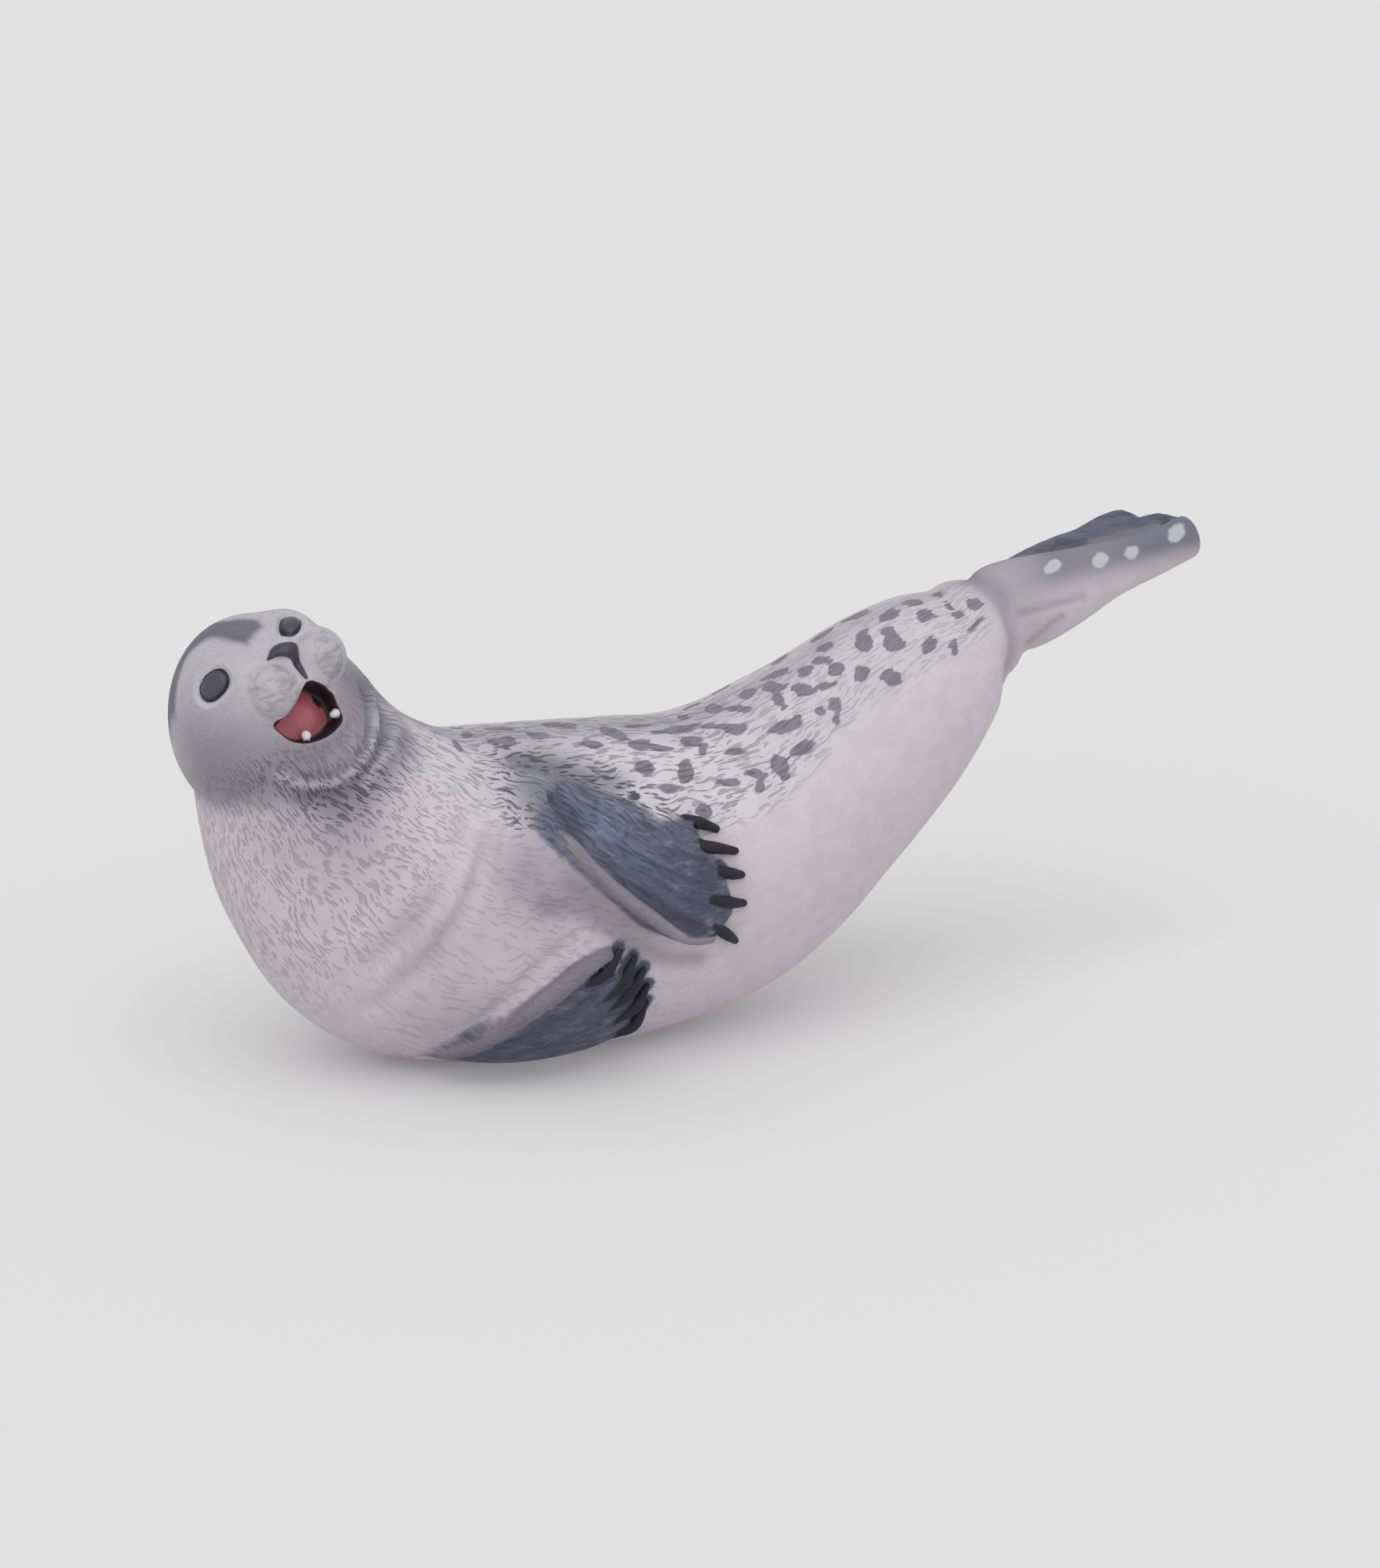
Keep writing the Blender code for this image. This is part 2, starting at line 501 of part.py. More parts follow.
def carved(skin, points, folds):
    """The skin with folds carved into it."""
    for fold in folds:
        near = np.flatnonzero(((points - fold.middle) ** 2).sum(1) < fold.reach**2)
        if len(near):
            skin[near] += fold.carve(points[near])
    return skin


def form(points):
    """Distance from each point to the skin, below zero inside."""
    skin = carved(bare_form(points), points, FOLDS)
    for tubes, blend in ((PALMS, PALM_BLEND), (DIGITS, DIGIT_BLEND)):
        skin = joined(skin, points, tubes, blend)
    skin = carved(skin, points, GROOVES)
    for tubes, blend in ((RIDGES, RIDGE_BLEND), (CLAWS, CLAW_BLEND)):
        skin = joined(skin, points, tubes, blend)
    p = in_head(points)
    near = np.flatnonzero((p**2).sum(1) < (2.0 * max(SKULL)) ** 2)
    if len(near):
        skin[near] = add_face(skin[near], p[near])
    return skin


def read_surface(field, low, high, step):
    """Points and four-cornered faces of the field's zero surface, one point in each cell that it crosses."""
    values = near_values(field, low, high, step)
    plugged = plug(values)
    shape = values.shape
    corners = [(i, j, k) for i in (0, 1) for j in (0, 1) for k in (0, 1)]
    edges = [
        (a, b) for a in corners for b in corners
        if sum(b) - sum(a) == 1 and all(x <= y for x, y in zip(a, b))
    ]
    cells = tuple(n - 1 for n in shape)

    def at(corner):
        return values[tuple(slice(c, c + n) for c, n in zip(corner, cells))]

    total = np.zeros(cells + (3,))
    hits = np.zeros(cells)
    kept_still = np.zeros(cells, bool)
    for corner in corners:
        kept_still |= plugged[tuple(slice(c, c + n) for c, n in zip(corner, cells))]
    for a, b in edges:
        va, vb = at(a), at(b)
        crossed = (va < 0) != (vb < 0)
        share = np.where(crossed, va / np.where(crossed, va - vb, 1.0), 0.0)
        for axis in range(3):
            total[..., axis] += np.where(crossed, a[axis] + share * (b[axis] - a[axis]), 0.0)
        hits += crossed
    used = hits > 0
    number = np.full(cells, -1)
    number[used] = np.arange(used.sum())
    points = (np.argwhere(used) + total[used] / hits[used][:, None]) * step + np.array(low)
    faces = []
    for axis in range(3):
        u, v = (axis + 1) % 3, (axis + 2) % 3
        low_end = [slice(1, -1)] * 3
        high_end = [slice(1, -1)] * 3
        low_end[axis] = slice(0, -1)
        high_end[axis] = slice(1, None)
        start, end = values[tuple(low_end)] < 0, values[tuple(high_end)] < 0
        for inside_first in (True, False):
            where = np.argwhere(start & ~end if inside_first else ~start & end)
            where[:, u] += 1
            where[:, v] += 1
            ring = []
            for du, dv in ((-1, -1), (0, -1), (0, 0), (-1, 0)):
                cell = where.copy()
                cell[:, u] += du
                cell[:, v] += dv
                ring.append(number[tuple(cell.T)])
            quad = np.stack(ring, axis=1)
            faces.append(quad if inside_first else quad[:, ::-1])
    free = ~kept_still[used]
    points[free] = settle(field, points[free])
    return points, np.concatenate(faces)


def plug(values):
    """Fills the grid points nearest the skin where it would touch itself, and says which they are."""
    cells = tuple(n - 1 for n in values.shape)
    corners = [(i, j, k) for i in (0, 1) for j in (0, 1) for k in (0, 1)]
    views = {c: tuple(slice(a, a + n) for a, n in zip(c, cells)) for c in corners}
    plugged = np.zeros(values.shape, bool)
    while True:
        inside = {c: values[views[c]] < 0 for c in corners}
        count = sum(inside[c].astype(int) for c in corners)
        found = []
        for axis in range(3):
            for level in (0, 1):
                face = [q for q in corners if q[axis] == level]
                a, b, c, d = (inside[q] for q in face)
                found += [(cell, face) for cell in np.argwhere((a == d) & (b == c) & (a != b))]
        for c in corners[:4]:
            here, there = inside[c], inside[tuple(1 - q for q in c)]
            touching = (here == there) & ((count == 2) & here | (count == 6) & ~here)
            found += [(cell, corners) for cell in np.argwhere(touching)]
        if not found:
            return plugged
        fresh = set()
        for cell, group in found:
            spots = [tuple(cell + np.array(corner)) for corner in group]
            if fresh.isdisjoint(spots):
                nearest = min((spot for spot in spots if values[spot] >= 0), key=lambda spot: values[spot])
                fresh.add(nearest)
        for spot in fresh:
            values[spot] = -0.02
            plugged[spot] = True


def near_values(field, low, high, step, levels=3):
    """The field on a grid, worked out closely near the skin and more coarsely away from it."""
    values, old = None, None
    for level in reversed(range(levels)):
        size = step * 2**level
        axes = [a + size * np.arange(int((b - a) / step) // 2**level + 1) for a, b in zip(low, high)]
        grid = np.stack(np.meshgrid(*axes, indexing="ij"), axis=-1)
        if values is None:
            values = field(grid.reshape(-1, 3)).reshape(grid.shape[:3])
        else:
            for axis, old_size in enumerate(old):
                index = np.minimum((np.arange(len(axes[axis])) + 1) // 2, old_size - 1)
                values = np.take(values, index, axis=axis)
            near = np.abs(values) < 2.6 * size
            values[near] = field(grid[near])
        old = values.shape
    return values


def outermost(points, faces):
    """The largest connected surface, without the skins of pockets that lie closed inside it."""
    group = np.arange(len(points))
    while True:
        lowest = group[faces].min(1)
        fresh = group.copy()
        for corner in faces.T:
            np.minimum.at(fresh, corner, lowest)
        fresh = fresh[fresh]
        if (fresh == group).all():
            break
        group = fresh
    kept = group == np.bincount(group).argmax()
    number = np.cumsum(kept) - 1
    return points[kept], number[faces[kept[faces[:, 0]]]]


def settle(field, points, rounds=2, reach=0.02):
    """Points moved along the field's slope onto its zero surface."""
    value = field(points)
    slope = np.stack([field(points + reach * axis) - value for axis in np.eye(3)], axis=1) / reach
    slope /= np.maximum((slope**2).sum(1), 0.25)[:, None]
    for _ in range(rounds):
        points = points - slope * value[:, None]
        value = field(points)
    return points


def fold_lines():
    """The folds of the chest, the chin and the rump, laid on the bare skin."""
    lines = [([BODY.skin_point(*place)[0] for place in places], *size) for places, *size in BODY_FOLDS]
    lines += [(np.array(HEAD_CENTRE) + np.array(places) @ HEAD_AXES, *size) for places, *size in HEAD_FOLDS]
    return [Fold(settle(bare_form, np.array(line)), *size) for line, *size in lines + HIND_FOLDS]


def flipper_grooves():
    """The grooves that are carved into the flippers."""
    return [
        Fold([BODY.skin_point(*place)[0] for place in places], *size) for places, *size in FLIPPER_FOLDS
    ]


def paint(name, colour, roughness):
    """A plain painted plastic."""
    material = bpy.data.materials.new(name)
    material.use_nodes = True
    shader = material.node_tree.nodes["Principled BSDF"]
    shader.inputs["Base Color"].default_value = (*colour, 1.0)
    shader.inputs["Roughness"].default_value = roughness
    shader.inputs["Metallic"].default_value = 0.0
    return material


def thinned(mesh, triangles):
    """The mesh with about that many triangles, kept close together where the form is finest."""
    holder = bpy.data.objects.new("thinned", mesh)
    bpy.context.scene.collection.objects.link(holder)
    modifier = holder.modifiers.new("Decimate", "DECIMATE")
    modifier.use_collapse_triangulate = True
    modifier.ratio = min(1.0, triangles / (2.0 * len(mesh.polygons)))
    graph = bpy.context.evaluated_depsgraph_get()
    result = bpy.data.meshes.new_from_object(holder.evaluated_get(graph))
    bpy.data.objects.remove(holder, do_unlink=True)
    return result


def figurine():
    """The figurine as one closed mesh with a flat underside, its middle over the origin."""
    points, quads = read_surface(form, GRID_LOW, GRID_HIGH, GRID_STEP)
    points, quads = outermost(points, quads)
    mesh = bpy.data.meshes.new("seal")
    mesh.from_pydata((points * MM).tolist(), [], quads.tolist())
    mesh = thinned(mesh, TRIANGLES)
    shape = bmesh.new()
    shape.from_mesh(mesh)
    everything = shape.verts[:] + shape.edges[:] + shape.faces[:]
    bmesh.ops.bisect_plane(shape, geom=everything, plane_co=(0, 0, 0), plane_no=(0, 0, 1), clear_inner=True)
    bmesh.ops.holes_fill(shape, edges=[edge for edge in shape.edges if edge.is_boundary])
    bmesh.ops.dissolve_degenerate(shape, edges=shape.edges[:], dist=0.00002)
    bmesh.ops.triangulate(shape, faces=[face for face in shape.faces if len(face.verts) > 3])
    places = np.array([vert.co for vert in shape.verts])
    middle = (places.min(0) + places.max(0)) / 2
    shape.to_mesh(mesh)
    shape.free()
    mesh.name = "seal"
    mesh.shade_smooth()
    mesh.materials.clear()
    mesh.materials.append(paint("painted_plastic", (0.62, 0.58, 0.60), 0.6))
    seal = bpy.data.objects.new("seal", mesh)
    seal.location = (-middle[0], -middle[1], 0.0)
    bpy.context.scene.collection.objects.link(seal)
    return seal


for old in list(bpy.data.objects):
    bpy.data.objects.remove(old, do_unlink=True)
FOLDS = fold_lines()
GROOVES = flipper_grooves()
seal = figurine()
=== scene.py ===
"""The dressed seal figurine: the moulded solid with its fur, skin folds and hand-painted colours.

The skin is read from the same field of distances as the solid, on a finer grid, so both have one shape.
Colours are painted by masks that are worked out at each point of the skin and mixed in one material.
Sizes in the tables are in millimetres; the scene is in metres, +Z up.
"""

import math

import bpy
import numpy as np
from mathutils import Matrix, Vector


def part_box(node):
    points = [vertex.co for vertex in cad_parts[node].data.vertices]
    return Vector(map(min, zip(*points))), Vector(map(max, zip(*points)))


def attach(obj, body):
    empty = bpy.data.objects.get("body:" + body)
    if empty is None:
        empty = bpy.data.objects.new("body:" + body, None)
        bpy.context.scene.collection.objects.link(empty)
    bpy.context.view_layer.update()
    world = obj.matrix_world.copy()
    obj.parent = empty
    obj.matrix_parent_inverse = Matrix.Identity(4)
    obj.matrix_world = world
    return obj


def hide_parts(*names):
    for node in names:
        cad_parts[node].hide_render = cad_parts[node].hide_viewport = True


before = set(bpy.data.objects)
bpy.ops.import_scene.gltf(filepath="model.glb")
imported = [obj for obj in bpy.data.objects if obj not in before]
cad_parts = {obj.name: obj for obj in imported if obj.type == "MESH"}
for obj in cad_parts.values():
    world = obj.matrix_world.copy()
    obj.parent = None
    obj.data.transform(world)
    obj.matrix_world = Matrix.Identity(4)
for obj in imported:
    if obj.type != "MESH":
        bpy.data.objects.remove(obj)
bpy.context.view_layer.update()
MM = 0.001

# The body's line from the nape to the rump: X, Y, Z of the line, then the half depth above it, the
# half breadth towards the viewer and the half depth below it.
BODY_LINE = [
    (-37.4, -0.8, 29.6, 7.8, 7.8, 7.1),
    (-34.2, -0.8, 25.6, 9.2, 9.8, 10.2),
    (-30.8, -0.6, 21.8, 10.1, 11.4, 12.9),
    (-26.9, -0.3, 18.6, 10.9, 13.1, 15.4),
    (-22.7, -0.1, 16.2, 12.1, 13.9, 16.3),
    (-18.0, 0.0, 14.7, 12.8, 14.3, 15.7),
    (-13.0, 0.0, 14.0, 13.1, 14.4, 14.7),
    (-8.0, 0.0, 13.9, 13.0, 14.2, 14.4),
    (-2.9, 0.0, 14.6, 12.3, 13.8, 14.2),
    (2.0, 0.0, 15.8, 11.1, 13.2, 13.8),
    (6.7, 0.0, 17.7, 10.2, 12.4, 12.5),
    (11.2, 0.0, 20.2, 9.6, 11.2, 10.9),
    (15.6, 0.0, 23.0, 9.0, 9.8, 9.7),
    (19.8, 0.0, 26.0, 8.4, 8.5, 8.5),
    (24.0, 0.0, 29.1, 6.8, 7.1, 6.5),
    (26.4, 0.0, 30.9, 4.9, 5.8, 4.5),
]

# The head: where its middle is, how far it turns from facing the viewer squarely, lifts and leans, and
# the half sizes of the skull to the side, forwards and upwards.
HEAD_CENTRE = (-38.1, -2.0, 33.2)
HEAD_TURN = 18.0
HEAD_LIFT = 23.3
HEAD_TILT = 17.0
SKULL = (6.6, 7.1, 7.0)

# Parts of the head in its own axes: middle to the left, forwards and upwards, then the half sizes.
MUZZLE = ((0.2, 4.3, 0.2), (4.4, 2.9, 3.2))
BRIDGE = ((2.4, 4.6, 2.9), (2.6, 2.4, 1.9))
BROW = ((3.0, 2.6, 3.3), (2.6, 2.6, 2.4))
PADS = [((-2.45, 5.6, 0.7), (2.35, 2.6, 2.5)), ((3.0, 5.7, 1.0), (2.6, 2.5, 2.6))]
JAW = ((0.7, 2.7, -4.6), (4.4, 3.9, 3.2))
NAPE = ((-32.9, 3.0, 30.7), (5.4, 5.4, 5.4))

# Hind flippers, root to tip: X, Y, Z, half thickness, half width. A web fills the gap between them.
NEAR_HIND = [
    (23.5, -0.6, 29.8, 3.2, 3.7),
    (28.0, -1.0, 33.0, 2.9, 3.8),
    (31.0, -1.3, 33.6, 2.4, 4.0),
    (34.5, -1.7, 34.6, 2.0, 3.4),
    (38.7, -1.8, 35.9, 1.6, 2.5),
    (43.0, -1.7, 37.0, 1.4, 2.1),
    (46.4, -1.3, 37.9, 1.1, 1.9),
]
FAR_HIND = [
    (23.5, 1.0, 28.8, 2.8, 3.0),
    (28.0, 2.0, 30.9, 2.5, 3.3),
    (32.0, 2.7, 33.1, 2.0, 3.1),
    (36.2, 3.1, 35.0, 1.6, 2.7),
    (41.0, 3.2, 36.5, 1.3, 2.1),
    (45.8, 2.4, 37.2, 1.0, 1.7),
]
HIND_WEB = [
    (26.0, 0.4, 30.4, 2.4, 3.0),
    (32.0, 0.7, 33.2, 2.0, 3.2),
    (37.0, 0.8, 35.5, 1.7, 2.5),
    (41.5, 0.8, 37.0, 1.5, 1.7),
    (44.6, 0.7, 37.5, 1.2, 1.3),
]

# Folds of the web that show on top between the hind flippers, root to tip.
WEB_FOLDS = [
    [(31.0, 0.9, 36.1, 0.7, 0.6), (35.5, 1.5, 37.7, 0.9, 0.6), (40.3, 1.7, 38.6, 0.9, 0.6),
     (44.8, 1.3, 38.4, 0.7, 0.5)],
    [(33.0, 2.2, 36.0, 0.8, 0.6), (37.5, 2.6, 37.7, 0.8, 0.6), (41.6, 2.3, 39.2, 0.7, 0.7),
     (44.2, 2.0, 38.0, 0.7, 0.6)],
    [(33.0, -0.2, 36.4, 0.6, 0.5), (38.5, 0.0, 37.7, 0.6, 0.5), (44.0, -0.1, 38.5, 0.5, 0.5)],
    [(43.0, 2.6, 37.9, 0.6, 0.5), (45.2, 2.3, 38.6, 0.7, 0.6), (46.9, 1.5, 38.4, 0.6, 0.5)],
]

# Fore flippers: share of the body's line, angle round it (0 faces the viewer, 90 up), height of the
# middle above the skin, half thickness, half width.
LEFT_PALM = [
    (0.280, 56.0, -1.8, 2.4, 2.2),
    (0.335, 47.0, -0.3, 2.0, 2.9),
    (0.400, 36.0, 0.1, 1.6, 3.6),
    (0.462, 24.5, 0.2, 1.4, 4.4),
    (0.506, 15.0, 0.3, 1.1, 4.9),
    (0.534, 12.0, 0.2, 0.8, 4.7),
    (0.550, 12.5, 0.1, 0.6, 3.8),
]
LEFT_RIDGE = [
    (0.315, 45.0, -0.2, 0.6, 0.5),
    (0.350, 33.0, 0.7, 0.7, 0.5),
    (0.396, 20.0, 1.0, 0.8, 0.5),
    (0.449, 7.0, 1.0, 0.8, 0.5),
    (0.500, -6.0, 0.7, 0.7, 0.5),
    (0.532, -11.0, 0.2, 0.5, 0.4),
]
LEFT_DIGITS = [
    [(0.455, 42.0), (0.505, 36.0), (0.530, 32.0)],
    [(0.460, 34.0), (0.510, 27.0), (0.538, 23.5)],
    [(0.465, 27.0), (0.520, 17.0), (0.558, 12.5)],
    [(0.460, 20.0), (0.510, 9.0), (0.543, 4.0)],
    [(0.455, 12.0), (0.500, 0.0), (0.534, -6.0)],
]
LEFT_CLAWS = [
    [(0.535, 34.0), (0.554, 31.5), (0.574, 28.5)],
    [(0.533, 25.0), (0.561, 21.5), (0.587, 18.0)],
    [(0.557, 13.0), (0.571, 10.5), (0.585, 8.0)],
    [(0.537, 4.5), (0.559, 0.5), (0.578, -3.0)],
    [(0.534, -5.0), (0.549, -10.0), (0.561, -15.5)],
]
RIGHT_PALM = [
    (0.285, -60.0, -1.8, 1.6, 2.0),
    (0.320, -49.0, -0.5, 1.5, 2.9),
    (0.355, -41.0, 0.1, 1.5, 3.7),
    (0.390, -34.0, 0.4, 1.3, 4.2),
    (0.420, -30.5, 0.3, 1.0, 4.1),
    (0.442, -29.0, 0.1, 0.7, 3.5),
]
RIGHT_RIDGE = [
    (0.290, -58.0, -0.6, 0.6, 0.5),
    (0.310, -46.0, 0.6, 0.7, 0.6),
    (0.348, -23.5, 0.9, 0.8, 0.7),
    (0.383, -12.5, 0.8, 0.8, 0.8),
    (0.412, -8.0, 0.4, 0.6, 0.6),
]
RIGHT_DIGITS = [
    [(0.345, -31.0), (0.372, -22.0), (0.392, -16.5)],
    [(0.350, -36.0), (0.382, -28.0), (0.407, -24.0)],
    [(0.355, -40.0), (0.390, -34.0), (0.418, -29.0)],
    [(0.358, -44.0), (0.395, -39.0), (0.428, -35.0)],
    [(0.358, -48.0), (0.395, -47.0), (0.436, -43.0)],
]
RIGHT_CLAWS = [
    [(0.392, -17.0), (0.412, -13.5), (0.430, -6.5)],
    [(0.407, -24.0), (0.431, -19.0), (0.446, -10.5)],
    [(0.419, -28.5), (0.442, -22.5), (0.458, -15.5)],
    [(0.430, -35.0), (0.451, -29.5), (0.463, -23.0)],
    [(0.440, -43.0), (0.456, -39.0), (0.465, -31.0)],
]
DIGIT_SIZE = (0.35, 0.9, 0.75)
LEFT_CLAW_SIZE = (0.46, 0.50, 0.32)
RIGHT_CLAW_SIZE = (0.34, 0.55, 0.24)
CLAW_LIFT = (0.85, 0.75, 0.2)

# Grooves on the flippers: share, angle and height along each one, then its depth and half width.
FLIPPER_FOLDS = [
    ([(0.335, 44.0, 1.4), (0.372, 31.5, 1.7), (0.415, 19.0, 1.7), (0.465, 7.0, 1.5), (0.515, -4.0, 1.1)],
     0.50, 0.60),
    ([(0.400, 41.0, 1.4), (0.470, 33.0, 1.3), (0.535, 29.5, 0.9)], 0.16, 0.30),
    ([(0.400, 36.0, 1.7), (0.470, 26.0, 1.6), (0.545, 17.5, 0.9)], 0.18, 0.32),
    ([(0.410, 31.0, 1.7), (0.480, 18.5, 1.5), (0.545, 7.5, 0.9)], 0.18, 0.32),
    ([(0.430, 24.0, 1.7), (0.485, 11.0, 1.5), (0.535, 0.0, 0.9)], 0.16, 0.30),
    ([(0.330, -41.0, 1.4), (0.370, -30.0, 1.7), (0.400, -21.0, 1.4)], 0.25, 0.40),
    ([(0.345, -45.0, 1.4), (0.385, -37.0, 1.7), (0.425, -30.0, 1.2)], 0.16, 0.32),
]

# Folds of the skin on the chest and under the flippers: share and angle along each fold, then how deep
# it is carved, or raised where the depth is below zero, and its half width.
BODY_FOLDS = [
    ([(0.230, 26.0), (0.231, 15.0), (0.235, -6.0), (0.233, -16.0), (0.229, -33.0), (0.222, -50.0)],
     0.55, 0.75),
    ([(0.212, 20.0), (0.216, 6.0), (0.217, -10.0), (0.212, -26.0)], -0.40, 0.95),
    ([(0.197, 36.0), (0.200, 25.0), (0.203, 0.0), (0.197, -16.0), (0.194, -32.0)], 0.38, 0.75),
    ([(0.165, 24.0), (0.172, 4.0), (0.172, -18.0), (0.166, -36.0)], -0.20, 1.10),
    ([(0.236, 56.0), (0.235, 50.0), (0.237, 40.0), (0.240, 30.0)], 0.35, 0.45),
    ([(0.252, 60.0), (0.248, 48.0), (0.248, 36.0)], -0.30, 0.50),
    ([(0.272, 66.0), (0.266, 54.0), (0.259, 40.0)], 0.35, 0.45),
    ([(0.261, 36.0), (0.258, 24.0), (0.270, 15.0), (0.297, 7.0)], 0.50, 0.60),
    ([(0.285, -72.0), (0.295, -56.0), (0.309, -34.0), (0.337, -15.0), (0.372, -3.0)], 0.45, 0.55),
    ([(0.335, 8.0), (0.385, 6.0), (0.430, -3.0), (0.480, -14.0), (0.520, -19.0)], 0.45, 0.90),
]

# Folds of the chin, the throat and the nose, in the head's own axes.
HEAD_FOLDS = [
    ([(7.4, 3.0, -3.9), (5.5, 5.0, -5.2), (3.0, 6.0, -6.9), (0.7, 6.0, -7.9), (-1.5, 5.4, -7.7),
      (-3.2, 4.6, -6.5)], 0.45, 0.50),
    ([(9.0, 1.0, -2.3), (9.1, 1.6, -3.7), (7.8, 3.2, -4.8), (6.1, 4.8, -5.8), (4.3, 5.8, -6.8),
      (2.7, 6.1, -7.8), (0.0, 5.9, -8.5), (-2.4, 5.0, -7.8), (-4.1, 3.8, -5.6)], -0.45, 0.38),
    ([(7.1, 4.2, -5.9), (5.2, 5.8, -7.5), (2.7, 6.5, -8.5), (0.1, 6.5, -9.3), (-1.9, 5.8, -9.0),
      (-3.9, 4.2, -8.0)], 0.40, 0.60),
    ([(8.9, 3.3, -6.7), (6.3, 5.7, -8.0), (3.0, 6.7, -9.0), (0.8, 6.8, -9.7)], -0.35, 0.40),
    ([(-1.9, 6.8, 3.3), (-2.9, 6.6, 3.1), (-3.9, 6.4, 2.6), (-4.5, 6.4, 1.6), (-4.6, 6.2, 0.2),
      (-4.1, 6.1, -1.2), (-3.2, 6.2, -2.0)], 0.50, 0.42),
    ([(1.7, 7.2, 2.8), (3.0, 7.7, 2.8), (4.2, 7.4, 2.0), (4.5, 7.4, 0.8), (4.1, 7.6, -0.3),
      (3.2, 7.5, -1.1), (2.2, 7.3, -1.5)], 0.50, 0.36),
    ([(-1.8, 5.6, 4.2), (-0.7, 5.9, 4.5), (1.6, 6.9, 3.6), (3.6, 6.9, 2.6)], -0.18, 0.35),
]

# The crease where the hind flippers leave the rump and the grooves on them: X, Y, Z along each one.
HIND_FOLDS = [
    ([(26.0, 1.4, 35.6), (26.3, -0.2, 35.7), (27.2, -2.2, 35.4), (28.0, -3.4, 34.5), (28.3, -4.6, 33.1),
      (28.4, -5.3, 31.3), (28.0, -5.0, 29.0), (27.6, -3.4, 27.0)], 0.55, 0.80),
    ([(32.8, 0.8, 38.2), (35.6, 0.0, 38.6), (38.0, -0.6, 38.8), (41.2, -0.9, 39.3), (44.4, -0.9, 39.7)],
     0.45, 0.40),
    ([(34.5, 1.9, 39.0), (36.3, 2.0, 39.5), (38.0, 2.0, 39.6), (41.1, 1.9, 39.9), (44.6, 1.7, 39.9)],
     0.40, 0.35),
    ([(30.6, -3.7, 30.6), (32.4, -3.7, 32.1), (33.4, -3.8, 32.7)], 0.20, 0.35),
    ([(29.4, -3.8, 33.5), (32.0, -3.8, 33.8), (35.4, -3.7, 34.3)], 0.20, 0.35),
]

# How widely one form runs into the next.
NAPE_BLEND = 3.0
HEAD_BLEND = 2.8
MUZZLE_BLEND = 1.6
BRIDGE_BLEND = 1.0
PAD_BLEND = 0.3
JAW_BLEND = 0.9
HIND_BLEND = 0.7
WEB_BLEND = 0.4
PALM_BLEND = 1.1
RIDGE_BLEND = 0.5
DIGIT_BLEND = 0.4
CLAW_BLEND = 0.12
MOUTH_BLEND = 0.35

# How far the eyes, their lids, the nose and the lips stand out, and how deep their grooves are.
EYE_BULGE = 0.26
EYE_GROOVE = 0.20
LID_RISE = 0.12
NOSE_RISE = 0.55
PHILTRUM_DEPTH = 0.45
LIP_RISE = 0.12

# The face, in the head's own axes: the middle of each eye with its half width, half height and lean, then
# outlines to the left and upwards.
EYES = [((-5.2, 3.15, 3.4), (1.15, 1.5), 73.0), ((2.5, 6.2, 4.6), (0.8, 1.5), 65.0)]
MOUTH = [
    (0.1, 0.1), (1.1, -0.8), (2.0, -1.9), (2.0, -3.4), (1.8, -4.3), (-0.1, -4.7), (-1.9, -4.4),
    (-3.1, -3.4), (-3.8, -1.7), (-2.8, -1.5), (-1.6, -0.9),
]
MOUTH_FLOOR = 5.0
TONGUE = ((-0.4, -2.4), (1.7, 2.0), 0.9)
NOSE = [
    (-1.8, 3.0), (-1.1, 3.6), (-0.2, 3.8), (1.1, 3.3), (0.75, 2.0), (0.45, 0.2), (0.05, 0.1), (-0.05, 1.4),
    (-0.1, 2.3), (-0.9, 2.95),
]


def unit(vectors):
    """Vectors at length one."""
    vectors = np.asarray(vectors, float)
    return vectors / np.linalg.norm(vectors, axis=-1, keepdims=True)


def smooth_rows(rows, count):
    """Rows read from a smooth curve that passes through every given row."""
    rows = np.asarray(rows, float)
    padded = np.concatenate([[2 * rows[0] - rows[1]], rows, [2 * rows[-1] - rows[-2]]])
    place = np.linspace(0, len(rows) - 1, count)
    i = np.minimum(place.astype(int), len(rows) - 2)
    t = (place - i)[:, None]
    a, b, c, d = (padded[i + k] for k in range(4))
    return 0.5 * (2 * b + (c - a) * t + (2 * a - 5 * b + 4 * c - d) * t**2 + (3 * b - a - 3 * c + d) * t**3)


def even_rows(rows, count):
    """Smooth rows set at even distances along the line that their first three numbers describe."""
    fine = smooth_rows(rows, 400)
    walked = np.concatenate([[0.0], np.cumsum(np.linalg.norm(np.diff(fine[:, :3], axis=0), axis=1))])
    wanted = np.linspace(0.0, walked[-1], count)
    return np.column_stack([np.interp(wanted, walked, column) for column in fine.T])


def ellipsoid_gap(offset, radii):
    """Distance to an ellipsoid's skin of points given from its middle, along its own axes."""
    radii = np.asarray(radii, float)
    k0 = np.sqrt(((offset / radii) ** 2).sum(-1)) + 1e-9
    k1 = np.sqrt(((offset / radii**2) ** 2).sum(-1)) + 1e-9
    return np.maximum(k0 * (k0 - 1.0) / k1, -radii.min(-1))


def smooth_union(a, b, blend):
    """The nearer of two distances, with a fillet of about the blend size where the forms meet."""
    h = np.clip(0.5 + 0.5 * (b - a) / blend, 0.0, 1.0)
    return b + (a - b) * h - blend * h * (1.0 - h)


def smooth_cut(a, b, blend):
    """Form a with form b taken out of it, the edge rounded by about the blend size."""
    return -smooth_union(-a, b, blend)


